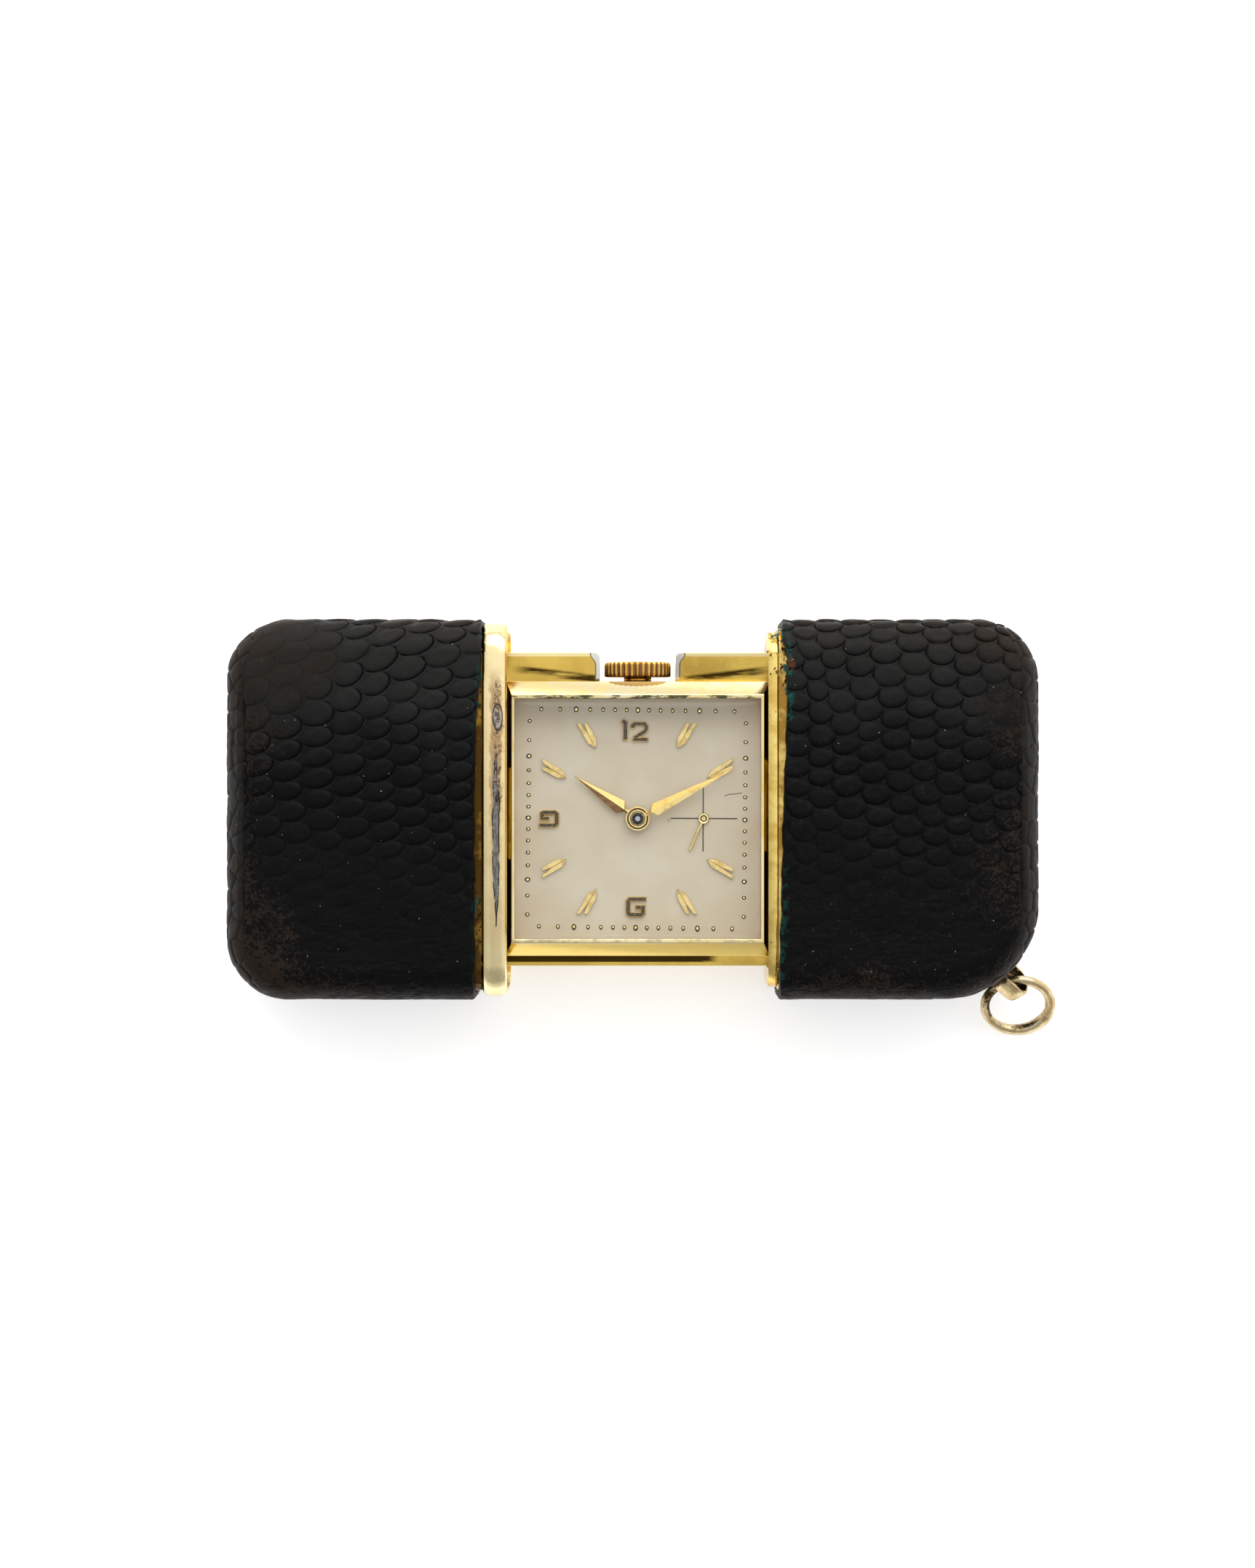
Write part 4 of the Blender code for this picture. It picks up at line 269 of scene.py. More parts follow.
# how far a place lies inside its oval scale, and how much it faces the scale's free edge
def scaleLine(tree, cover):
    ragged = noise(tree, 0.35, 4.0, roughness=0.7) - 0.5
    row, rank = painted(tree, "rowAt") + ragged * 0.03, painted(tree, "rankAt")
    found = []
    for step in (0.0, 1.0):
        line = maths("FLOOR", rank) + step
        shifted = row - line * cover["shift"]
        place = maths("FLOOR", shifted + 0.5)
        turn = line * ovalLook["turnRank"] + place * ovalLook["turnPlace"]
        uneven = maths("SINE", turn) * ovalLook["uneven"]
        longWay = (shifted - place) * (1 / cover["oval"][0])
        wideWay = (rank - line) * (1 / cover["oval"][1])
        reach = maths("SQRT", longWay * longWay + wideWay * wideWay)
        facing = longWay * cover["free"][0] + wideWay * cover["free"][1]
        found.append((reach / (uneven + 1.0), facing / reach, maths("SINE", turn * 3.3)))
    nearer = maths("LESS_THAN", found[0][0], found[1][0])
    radius, lean, chance = [second + nearer * (first - second) for first, second in zip(*found)]
    return (1.0 - radius) * ovalLook["size"], lean, chance


def leatherMaterial(name, cover):
    look = leatherLook
    made, tree, shader = newMaterial(name)
    worn, creased = painted(tree, "worn"), painted(tree, "creaseShade")
    within, lean, chance = scaleLine(tree, cover)
    cloud, fleck = noise(tree, 0.8, 5.0), noise(tree, 0.26, 4.0, roughness=0.7)
    far = abs(within) + (noise(tree, 0.5, 4.0, roughness=0.7) - 0.5) * 0.045
    # painted shade: a dark line round each scale, strongest on the side facing its free edge, joined by the
    # painted shade along the end fold
    line = (ramp(far, look["lineWide"], look["lineCore"]) * ramp(lean, -0.55, 0.15, 0.10, 1.0)
            * ramp(chance, -1.0, -0.4, 0.45, 1.0))
    creaseShade = largest(line * creased, painted(tree, "fold"))
    # lit is painted light: a paler tone towards the top of the cover, where the fine mottle also shows more
    lit = painted(tree, "lit") + (noise(tree, 3.4, 3.0) - 0.5) * 0.5
    mottle = ramp(noise(tree, 0.17, 4.0, roughness=0.7), 0.42, 0.68) * ramp(lit, 0.0, 1.0, 0.05, 0.5)
    rust = ramp(cloud * 0.6 + fleck * 1.2 + worn * 0.35, 1.05, 1.19) * ramp(worn, 0.0, 0.5, 0.12, 0.9)
    sparks = (ramp(noise(tree, 0.2, 5.0, (1.0, 0.6, 1.0), 0.75), 0.60, 0.68)
              * ramp(noise(tree, 2.2, 3.0), 0.46, 0.60) * ramp(worn, 0.02, 0.6, 0.3, 1.0))
    tone = layered(
        mixColour(ramp(lit, 0.0, 1.0), look["low"], look["high"]),
        (mottle, look["fine"]), (rust, look["rust"]), (sparks * 0.5, look["tan"]), (creaseShade, look["creaseShade"]),
        (painted(tree, "torn") * ramp(fleck, 0.4, 0.5), look["torn"]),
        (ramp(within, -0.03, -0.07) * creased * 0.15, look["web"]),
        (painted(tree, "green") * ramp(cloud + fleck * 0.5, 0.74, 0.84), look["verdigris"]),
        (specks(tree, look["dustAmount"], look["dustScale"]) * 0.6, look["dust"]))
    grain = noise(tree, 0.13, 4.0, roughness=0.6) + noise(tree, 0.6) * 0.8
    rough = ramp(noise(tree, 1.1, 3.0) + creaseShade * 0.4, 0.3, 1.0, look["roughness"] - 0.05,
                 look["roughness"] + 0.25)
    setShader(shader, {"Base Color": tone, "Roughness": rough, "Specular IOR Level": look["specular"],
                       "Normal": bump(grain, look["grainDeep"], 0.5)})
    return made


# tip: another metal above a height in millimetres, as (height, colour)
def metalMaterial(name, metal, stain, cover, scale, roughness, marks=0.2, brush=None, speck=0.0,
                  depth=0.01, tip=None):
    made, tree, shader = newMaterial(name)
    colour, stained = tarnish(tree, metal, stain, scale, cover)
    height = scratches(tree, marks)
    rough = stained * 0.2 + height * 0.12 + roughness
    if brush:
        lines = noise(tree, 0.5, 3.0, brush)
        height = height + lines * 0.9
        rough = rough + lines * 0.12
    if speck:
        spots = specks(tree, speck)
        colour = mixColour(spots, colour, (0.03, 0.017, 0.008))
        rough = rough + spots * 0.4
    if tip:
        colour = mixColour(ramp(along(tree, 2), tip[0] - 0.05, tip[0] + 0.05), colour, tip[1])
    setMetal(shader, colour, rough, height, depth)
    return made


giltRail = metalMaterial("giltRail", (0.84, 0.58, 0.14), (0.50, 0.32, 0.07), 0.36, 330.0, 0.2, 0.4,
                         brush=(1.0, 9.0, 9.0), speck=0.02, depth=0.014)
giltDirty = metalMaterial("giltDirty", (0.80, 0.48, 0.09), (0.09, 0.04, 0.010), 0.5, 900.0, 0.3, 0.4,
                          speck=0.12)
giltHand = metalMaterial("giltHand", (0.94, 0.74, 0.28), (0.72, 0.50, 0.16), 0.36, 900.0, 0.15, speck=0.01)
giltHub = metalMaterial("giltHub", (0.98, 0.80, 0.36), (0.75, 0.50, 0.16), 0.3, 1600.0, 0.14, 0.1)
giltMarker = metalMaterial("giltMarker", (0.86, 0.67, 0.28), (0.66, 0.48, 0.17), 0.38, 1600.0, 0.3, 0.15,
                           speck=0.02)
giltEdge = metalMaterial("giltEdge", (0.62, 0.50, 0.26), (0.30, 0.24, 0.11), 0.45, 2600.0, 0.3)
# painted shade: a darker gilt for the minute hand's shaded slope
giltShade = metalMaterial("giltShade", (0.74, 0.50, 0.15), (0.52, 0.34, 0.08), 0.36, 900.0, 0.2)
# painted dark reflection on the hour hand's shaded slope
giltDarkReflection = metalMaterial("giltDarkReflection", (0.19, 0.09, 0.022), (0.34, 0.19, 0.06), 0.36, 2200.0, 0.3, 0.3,
                          speck=0.06)
inlayDark = metalMaterial("inlayDark", (0.24, 0.19, 0.085), (0.06, 0.05, 0.028), 0.52, 5200.0, 0.5,
                          depth=0.03)
hubOlive = metalMaterial("hubOlive", (0.34, 0.27, 0.10), (0.16, 0.13, 0.05), 0.4, 3000.0, 0.4, depth=0.02)
hubBlack = metalMaterial("hubBlack", (0.018, 0.013, 0.006), (0.05, 0.035, 0.012), 0.3, 3000.0, 0.5, 0.1)
dotOutline = metalMaterial("dotOutline", (0.045, 0.05, 0.022), (0.012, 0.04, 0.022), 0.5, 500.0, 0.55, 0.1)
brassWheel = metalMaterial("brassWheel", (0.78, 0.58, 0.24), (0.5, 0.32, 0.1), 0.35, 500.0, 0.24, 0.3,
                           brush=(9.0, 1.0, 1.0))
brassCentre = metalMaterial("brassCentre", (0.78, 0.58, 0.24), (0.5, 0.32, 0.1), 0.35, 500.0, 0.24, 0.3,
                            tip=(9.5, (0.42, 0.47, 0.56)))
nickelPlate = metalMaterial("nickelPlate", (0.66, 0.64, 0.60), (0.42, 0.38, 0.32), 0.3, 350.0, 0.26, 0.3,
                            brush=(1.0, 8.0, 1.0))
steelBright = metalMaterial("steelBright", (0.56, 0.57, 0.60), (0.25, 0.22, 0.2), 0.3, 500.0, 0.2, 0.35,
                            brush=(8.0, 1.0, 8.0))
steelBlued = metalMaterial("steelBlued", (0.05, 0.08, 0.28), (0.04, 0.04, 0.1), 0.4, 700.0, 0.22)

paleLook = {"metal": (0.76, 0.62, 0.38), "stain": (0.58, 0.43, 0.21), "paintedShade": (0.055, 0.033, 0.012),
            "roughness": 0.24}


# champagne gilt with painted shade where the piece stored it
def paleMaterial():
    look = paleLook
    made, tree, shader = newMaterial("giltPale")
    gilt, _ = tarnish(tree, look["metal"], look["stain"], 620.0, 0.4)
    ragged = (noise(tree, 0.45, 5.0, roughness=0.65) - 0.5) * 1.3
    dark = ramp(painted(tree, "paintedShade") + ragged, 0.38, 0.75)
    height = scratches(tree, 0.5, 520.0) + noise(tree, 0.5, 2.0) * 1.4
    setMetal(shader, mixColour(dark, gilt, look["paintedShade"]), dark * 0.18 + look["roughness"], height, 0.02)
    return made


# places are in millimetres; low is the lower rail, notch the crown's cut in the upper one
railLook = {
    "metal": (0.86, 0.60, 0.13), "stain": (0.66, 0.44, 0.09), "rubbed": (0.70, 0.45, 0.08),
    "left": (0.58, 0.39, 0.08), "brown": (0.035, 0.017, 0.002), "rim": (0.98, 0.86, 0.50),
    "wall": (0.70, 0.67, 0.60), "wallLine": (0.16, 0.13, 0.09), "spot": (0.05, 0.03, 0.01), "top": 8.6,
    "notch": 3.60, "flareFrom": 13.1, "flare": 0.45, "highlightFrom": 13.98, "rimLow": -12.66,
    "streakLeft": (11.5, 11.85), "streakRight": (11.35, 11.68), "streakLean": 0.12, "lowEnd": -12.38,
}


# rails: horizontal brushing, brown streaks beside the notch, a brown line along the lower rail, a painted
# highlight along the top edge
def railMaterial():
    look = railLook
    made, tree, shader = newMaterial("giltRails")
    x, y, z = along(tree, 0, 1, 2)
    gilt, _ = tarnish(tree, look["metal"], look["stain"], 240.0, 0.4)
    brushed = noise(tree, 0.5, 4.0, (0.06, 2.2, 1.0), 0.6)
    wisps = noise(tree, 1.3, 5.0, (0.16, 1.6, 1.0), 0.62)
    top = ramp(z, look["top"], look["top"] + 0.12)
    lean = x * look["streakLean"]
    left = band(y + lean, *look["streakLeft"], 0.3) * band(x, -9.0, -4.0, 2.2)
    right = band(y - lean, *look["streakRight"], 0.3) * band(x, 4.2, 9.8, 2.2)
    low = ramp(y, look["lowEnd"] - 0.08, look["lowEnd"])
    tail = ramp(y, -11.75, -11.85) * ramp(x * 0.09 + y, -11.95, -11.72) * low * ramp(x, 7.2, 6.0)
    foot = ramp(y, -11.7, -11.8) * low * ramp(x, 6.9, 5.4)
    brown = largest(largest(left, right) * ramp(wisps, 0.36, 0.52), foot, tail)
    # painted highlight along the upper rail's top edge; a pale strip along the lower rail's bottom edge
    rim = largest(ramp(y, look["highlightFrom"], look["highlightFrom"] + 0.12),
                  ramp(y, look["rimLow"], look["rimLow"] - 0.06))
    flare = ramp(y, look["flareFrom"], 14.2)
    side = abs(x) - flare * flare * look["flare"]
    wall = ramp(side, look["notch"] + 0.08, look["notch"]) * ramp(y, 12.0, 12.2) * ramp(side, 2.6, 2.8)
    wallLine = band(side, look["notch"], look["notch"] + 0.08, 0.05) * ramp(y, 12.1, 12.3) * top
    colour = layered(
        gilt, (ramp(brushed, 0.35, 0.7, 0.0, 0.35), look["rubbed"]),
        (ramp(x, -2.0, -6.0, 0.0, 0.45), look["left"]), (brown * top * 0.97, look["brown"]),
        (rim * 0.7, look["rim"]), (wall, look["wall"]), (wallLine * 0.8, look["wallLine"]),
        (specks(tree, 0.02, 1500.0) * 0.8, look["spot"]))
    setMetal(shader, colour, brushed * 0.16 + brown * 0.12 + 0.15, scratches(tree, 0.3) + brushed * 0.8,
             0.012)
    return made


# sight is the edge of the opening, outer the outside edge, fan the crown's reflection at the top
bezelLook = {
    "metal": (0.93, 0.80, 0.48), "stain": (0.84, 0.66, 0.28), "bottom": (0.76, 0.56, 0.17),
    "side": (1.0, 0.53, 0.0), "dirt": (0.10, 0.095, 0.05), "fan": (0.42, 0.22, 0.03),
    "spot": (0.05, 0.04, 0.02), "sight": 10.6, "lip": 0.32, "outer": 11.84, "fanHalf": 2.5,
    "fanHigh": 0.42, "toothStep": 0.45,
}


# bezel: pale polished gilt, dirt along the lip, painted shade as deeper gold on the sloping sides and the
# lower facet, the crown's brown reflection under it
def bezelMaterial():
    look = bezelLook
    made, tree, shader = newMaterial("giltBezel")
    x, y = along(tree, 0, 1)
    gilt, stained = tarnish(tree, look["metal"], look["stain"], 220.0, 0.36)
    sight = look["sight"]
    # painted shade: the sloping sides take a deeper gold
    sides = band(abs(x), 10.85, 11.5, 0.06) * band(y, -sight, sight, 0.2)
    upper, lower = sight + 0.02, sight + 0.02 - look["lip"]
    lip = largest(band(y, lower, upper, 0.06), band(y, -upper, -lower, 0.06) * 0.4)
    dirt = lip * ramp(noise(tree, 0.55, 5.0, (0.35, 1.0, 1.0), 0.7), 0.46, 0.6)
    reach = maths("SQRT", largest(1.0 + x * x * (-1 / look["fanHalf"] ** 2), 0.0))
    teeth = maths("SINE", x * (math.tau / look["toothStep"])) * 0.025
    foot = look["outer"] - reach * look["fanHigh"] + teeth
    fan = ramp(y - foot, -0.02, 0.03) * ramp(reach, 0.05, 0.2) * ramp(y, 11.9, 11.8) * 0.85
    # painted shade: the lower facet takes a deeper gold too
    colour = layered(gilt, (ramp(y, -sight, -sight - 0.3), look["bottom"]), (sides, look["side"]),
                     (dirt, look["dirt"]), (fan, look["fan"]), (specks(tree, 0.012) * 0.8, look["spot"]))
    setMetal(shader, colour, stained * 0.1 + 0.14 + dirt * 0.3, scratches(tree, 0.25), 0.008, 0.5)
    return made


# core is the bare metal along the middle, patch the bare spot near the top, pits the dark marks round it
beadLook = {
    "metal": (0.96, 0.80, 0.45), "stain": (0.90, 0.70, 0.36), "inner": (0.80, 0.56, 0.20),
    "bottom": (1.0, 0.86, 0.48), "pink": (0.43, 0.27, 0.14), "grey": (0.27, 0.265, 0.245),
    "greyDark": (0.15, 0.145, 0.13), "patch": (0.40, 0.40, 0.385), "pits": (0.055, 0.035, 0.03),
    "middle": -12.14, "coreLow": -9.4, "coreHigh": 5.0, "coreWide": 0.27, "patchAt": (-12.0, 8.7),
}


# bead worn through to silvery metal along its middle, with dark pits in the worn patch
def beadMaterial():
    look = beadLook
    made, tree, shader = newMaterial("giltBead")
    x, y = along(tree, 0, 1)
    gilt, _ = tarnish(tree, look["metal"], look["stain"], 230.0, 0.42)
    wander = (noise(tree, 3.0, 2.0) - 0.5) * 0.3
    fine = (noise(tree, 0.32, 5.0, (1.0, 0.3, 1.0), 0.7) - 0.5) * 0.9
    across = abs(x - look["middle"] + wander)
    broad = abs(x - look["middle"] + 0.02 + wander + fine)
    pink = ramp(broad, 0.62, 0.30) * ramp(y, -3.0, 3.5, 0.22, 0.85) * ramp(y, 13.4, 10.5)
    low, high = look["coreLow"], look["coreHigh"]
    taper = ramp(y, low, -5.0) * ramp(y, high + 0.2, 1.0, 0.25, 1.0) * look["coreWide"]
    inside = taper - (across + fine * ramp(y, -1.0, 4.0, 0.12, 0.9))
    core = ramp(inside, 0.0, 0.05) * band(y, low, high, 0.2)
    rim = (band(inside, -0.02, 0.03, 0.05) * band(y, low, high + 0.5, 0.3)
           * ramp(noise(tree, 0.4, 4.0, (1.0, 0.3, 1.0)), 0.40, 0.52))
    pits = (ramp(noise(tree, 0.2, 5.0, (1.0, 0.55, 1.0), 0.75), 0.50, 0.56)
            * ramp(broad - x * 0.35 - 4.2, 0.45, 0.15)
            * largest(band(y, 1.5, 5.8, 1.2), band(y, 7.0, 11.2, 1.2) * 0.8))
    fromX, fromY = x - look["patchAt"][0], y - look["patchAt"][1]
    blob = maths("SQRT", (fromX * 2.6) ** 2.0 + fromY ** 2.0 + fine * 1.3)
    grey = mixColour(ramp(noise(tree, 0.25, 5.0, (1.0, 0.4, 1.0), 0.7), 0.42, 0.62), look["grey"],
                     look["greyDark"])
    dark = largest(pits, rim, band(blob, 1.0, 1.15, 0.12) * 0.9)
    colour = layered(gilt, (ramp(x, -11.6, -11.3), look["inner"]), (ramp(y, -9.0, -11.5), look["bottom"]),
                     (pink, look["pink"]), (core, grey),
                     (ramp(blob, 1.15, 0.95) * ramp(fine, -0.2, 0.1), look["patch"]), (dark, look["pits"]))
    height = scratches(tree, 0.3) - largest(dark, core) * 1.6
    setMetal(shader, colour, pink * 0.12 + dark * 0.3 + core * 0.2 + 0.16, height, 0.02, 0.7)
    return made


verdigrisLook = {"dirt": (0.035, 0.018, 0.008), "green": (0.004, 0.085, 0.070), "from": 0.72}


# gilt with dark green bloom and specks, most of it near the leather and at the top end
def verdigrisMaterial(name, metal, stain, cover, roughness, spread, rimX):
    look = verdigrisLook
    made, tree, shader = newMaterial(name)
    gilt, _ = tarnish(tree, metal, stain, 420.0, cover)
    x, y = along(tree, 0, 1)
    lean = ramp(y, 6.0, 14.0) * 0.15 + ramp(y, -2.0, -7.0) * 0.08 + ramp(x, rimX, rimX + 0.8) * 0.12
    start = look["from"] - spread
    green = ramp(noise(tree, 0.9, 6.0, (1.0, 0.6, 1.0), 0.65) + lean, start, start + 0.04)
    dark = ramp(noise(tree, 0.3, 5.0, (1.0, 0.5, 1.0), 0.7) + lean, start + 0.01, start + 0.06)
    both = largest(green, dark)
    setShader(shader, {"Base Color": layered(gilt, (dark, look["dirt"]), (green, look["green"])),
                       "Metallic": 1.0 - green, "Roughness": both * 0.5 + roughness,
                       "Normal": bump(both, 0.03, 0.6)})
    return made


# crown: gold ridges, brown in the grooves that the piece stored
def crownMaterial():
    made, tree, shader = newMaterial("giltCrown")
    gilt, _ = tarnish(tree, (0.84, 0.54, 0.13), (0.64, 0.38, 0.08), 900.0, 0.4)
    groove = painted(tree, "groove")
    setMetal(shader, mixColour(ramp(groove, 0.3, 0.75), gilt, (0.27, 0.12, 0.05)),
             ramp(groove, 0.2, 1.0, 0.2, 0.42), noise(tree, 0.12, 3.0), 0.006, 0.5)
    return made


dialPaintLook = {"paint": (0.655, 0.598, 0.480), "aged": (0.610, 0.535, 0.405), "rim": (0.42, 0.37, 0.28),
                 "edge": (0.12, 0.11, 0.06), "spot": (0.24, 0.19, 0.11), "roughness": 0.45, "specular": 0.35}


# dial paint, darker along its rim and in a ragged band along the top edge
def dialMaterial():
    look = dialPaintLook
    made, tree, shader = newMaterial("dialPaint")
    paint, _ = tarnish(tree, look["paint"], look["aged"], 110.0, 0.45)
    x, y = along(tree, 0, 1)
    edge = ramp(y, 9.9, 10.25) * ramp(noise(tree, 0.5, 4.0, (0.3, 1.0, 1.0), 0.7), 0.5, 0.6)
    colour = layered(paint, (ramp(largest(abs(x), abs(y)), 10.0, 10.6, 0.0, 0.3), look["rim"]),
                     (edge * 0.7, look["edge"]), (specks(tree, 0.012, 1500.0) * 0.4, look["spot"]))
    setShader(shader, {"Base Color": colour, "Roughness": look["roughness"],
                       "Specular IOR Level": look["specular"],
                       "Normal": bump(noise(tree, 0.12, 3.0), 0.004, 0.5)})
    return made


def inkMaterial():
    made, tree, shader = newMaterial("dialInk")
    ink, _ = tarnish(tree, (0.016, 0.012, 0.008), (0.05, 0.038, 0.025), 3000.0, 0.3)
    setShader(shader, {"Base Color": ink, "Roughness": 0.5})
    return made


# clear crystal: its shadow rays pass straight through, so the dial stays bright
def crystalMaterial():
    made, tree, shader = newMaterial("crystalClear")
    setShader(shader, {"Base Color": (0.985, 0.98, 0.965), "Roughness": 0.0, "IOR": 1.35,
                       "Transmission Weight": 1.0})
    clear = wire(tree, "ShaderNodeBsdfTransparent", {"Color": (0.97, 0.965, 0.95)})
    through = seenBy(tree, "Is Shadow Ray", "Is Diffuse Ray")
    mixed = wire(tree, "ShaderNodeMixShader", {0: through, 1: Wire(shader.outputs[0]), 2: clear})
    plug(tree.nodes["Material Output"].inputs["Surface"], mixed)
    return made


giltBead, giltRails, giltBezel = beadMaterial(), railMaterial(), bezelMaterial()
giltRim = verdigrisMaterial("giltRim", (0.93, 0.70, 0.22), (0.72, 0.48, 0.11), 0.38, 0.16, 0.0, 11.9)
giltStrip = verdigrisMaterial("giltStrip", (0.42, 0.23, 0.035), (0.09, 0.045, 0.010), 0.56, 0.42, 0.07, 40.0)
giltLiner = verdigrisMaterial("giltLiner", (0.88, 0.64, 0.20), (0.40, 0.22, 0.04), 0.45, 0.22, 0.03, 12.3)
giltCrown, giltPale = crownMaterial(), paleMaterial()
dialPaint, dialInk, crystalClear = dialMaterial(), inkMaterial(), crystalMaterial()
print("materials ready")


def placedObject(name, data):
    made = bpy.data.objects.new(name, data)
    bpy.context.scene.collection.objects.link(made)
    return made


def meshPiece(name, points, faces, material, body, replaced=(), smooth=True, picks=None):
    mesh = bpy.data.meshes.new(name)
    mesh.from_pydata([tuple(np.array(point) * mm) for point in points], [], [tuple(face) for face in faces])
    return finishPiece(name, mesh, material, body, replaced, smooth, picks)


def finishPiece(name, mesh, material, body, replaced=(), smooth=True, picks=None):
    mesh.materials.clear()
    for item in material if isinstance(material, (list, tuple)) else [material]:
        mesh.materials.append(item)
    if picks is not None:
        mesh.polygons.foreach_set("material_index", picks)
    mesh.polygons.foreach_set("use_smooth", [smooth] * len(mesh.polygons))
    mesh.update()
    piece = placedObject(name, mesh)
    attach(piece, body)
    if replaced:
        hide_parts(*replaced)
    return piece


def storeValues(mesh, label, values):
    stored = mesh.attributes.new(label, "FLOAT", "POINT")
    stored.data.foreach_set("value", np.asarray(values, dtype=np.float32))


def bevelEdges(piece, width, steps=2, angle=28.0):
    bevel = piece.modifiers.new("edges", "BEVEL")
    bevel.width = width * mm
    bevel.segments = steps
    bevel.limit_method = "ANGLE"
    bevel.angle_limit = math.radians(angle)
    bevel.harden_normals = True


def meshFrom(builder, name):
    mesh = bpy.data.meshes.new(name)
    builder.to_mesh(mesh)
    builder.free()
    return mesh


# a welded copy of a CAD node, its flat faces joined and its edges broken
def dressedPiece(name, node, material, body, width, steps):
    builder = bmesh.new()
    builder.from_mesh(nodes[node].data)
    bmesh.ops.remove_doubles(builder, verts=builder.verts, dist=0.000002)
    bmesh.ops.dissolve_limit(builder, angle_limit=math.radians(1.0), verts=builder.verts, edges=builder.edges)
    bevelEdges(finishPiece(name, meshFrom(builder, name), material, body, (node,)), width, steps)


# several closed shells gathered into one mesh
class Shells:
    def __init__(self):
        self.points, self.faces, self.picks = [], [], []

    # rings of equal length joined in a row; both ends are capped unless the row closes on itself
    def rings(self, rings, picks=0, closed=False):
        start, count = len(self.points), len(rings[0])
        for ring in rings:
            self.points += [tuple(point) for point in ring]
        pairs = len(rings) if closed else len(rings) - 1
        for row in range(pairs):
            low, high = start + row * count, start + (row + 1) % len(rings) * count
            for index in range(count):
                after = (index + 1) % count
                self.faces.append((low + index, low + after, high + after, high + index))
                self.picks.append(picks[row] if isinstance(picks, (list, tuple)) else picks)
        if not closed:
            self.faces.append(tuple(range(start + count - 1, start - 1, -1)))
            self.faces.append(tuple(range(start + (len(rings) - 1) * count, start + len(rings) * count)))
            self.picks += [picks[0], picks[-1]] if isinstance(picks, (list, tuple)) else [picks, picks]

    # profile: (radius, height) pairs turned about an upright axis
    def lathe(self, profile, centre, sides, picks=0, closed=True):
        def ring(radius, height):
            return [(centre[0] + radius * math.cos(math.tau * step / sides),
                     centre[1] + radius * math.sin(math.tau * step / sides), height) for step in range(sides)]
        self.rings([ring(radius, height) for radius, height in profile], picks, closed)

    def piece(self, name, material, body, slot, replaced=(), smooth=False):
        return meshPiece(name, self.points, self.faces, material, body, replaced, smooth, self.picks)


def turned(point, angle, centre=(0.0, 0.0)):
    return (centre[0] + point[0] * math.cos(angle) - point[1] * math.sin(angle),
            centre[1] + point[0] * math.sin(angle) + point[1] * math.cos(angle))


def atHeight(outline, height):
    return [(x, y, height) for x, y in outline]


# the outline (counterclockwise) moved inward by a distance
def shrunk(outline, distance):
    moved = []
    for index, point in enumerate(outline):
        here = Vector(point)
        before = (here - Vector(outline[index - 1])).normalized()
        after = (Vector(outline[(index + 1) % len(outline)]) - here).normalized()
        first, second = Vector((-before.y, before.x)), Vector((-after.y, after.x))
        middle = (first + second).normalized()
        moved.append(tuple(here + middle * distance / max(0.45, middle.dot(first))))
    return moved


# depths and widths in millimetres; the fold runs round the end, foldTurn degrees into its rounding
leatherSkin = {
    "edge": 3.0, "thickness": 0.74, "roll": 0.34, "step": 0.13, "sideStep": 0.24, "sharpness": 9.0,
    "half": 0.36, "shoulder": 0.13, "creaseDeep": 0.12, "creaseWide": 0.045, "tilt": 0.15,
    "foldTurn": 27.0, "foldDeep": 0.16, "foldWide": 0.2, "ridge": 0.07, "wrinkle": 0.05, "swell": 0.06,
    "grain": 0.012, "sink": 0.10, "deepest": 0.45, "middle": 0.8, "capTries": 9000, "capCrease": 0.085,
}
boxSides = ((2, 1), (2, 0), (1, 1), (1, 0), (0, 0))  # front, back, top side, bottom side, end
frontSide, backSide = 0, 1


def gridLine(start, end, step):
    return np.linspace(start, end, max(4, int(round(abs(end - start) / step / 4)) * 4) + 1)


# four fine steps over the roll at the mouth
def depthLine(length, step):
    line = gridLine(0.0, length - 0.4, step)
    return np.concatenate([line, length - 0.4 + np.array([0.1, 0.2, 0.3, 0.4])])


# the corners of one cell on a side of the box, as places on the three lines
def cellCorners(axis, value, last, a, b, wide):
    first, second = [other for other in range(3) if other != axis]
    corners = []
    for da, db in ((0, 0), (wide, 0), (wide, wide), (0, wide)):
        place = [0, 0, 0]
        place[axis], place[first], place[second] = last[axis] if value else 0, a + da, b + db
        corners.append(tuple(place))
    return corners


# every cell on one side of the box, wide lines across
def sideCells(axis, value, last, wide=1):
    first, second = [other for other in range(3) if other != axis]
    return [cellCorners(axis, value, last, a, b, wide)
            for a in range(0, last[first], wide) for b in range(0, last[second], wide)]


# quads over five faces of a box, each vertex made once; lines are the three coordinate lines
def boxGrid(lines):
    index, points, faces, where = {}, [], [], []
    last = [len(line) - 1 for line in lines]
    for side, (axis, value) in enumerate(boxSides):
        for cell in sideCells(axis, value, last):
            for key in cell:
                if key not in index:
                    index[key] = len(points)
                    points.append([line[step] for line, step in zip(lines, key)])
                    where.append(side)
            faces.append([index[key] for key in cell])
    return np.array(points), faces, np.array(where), index


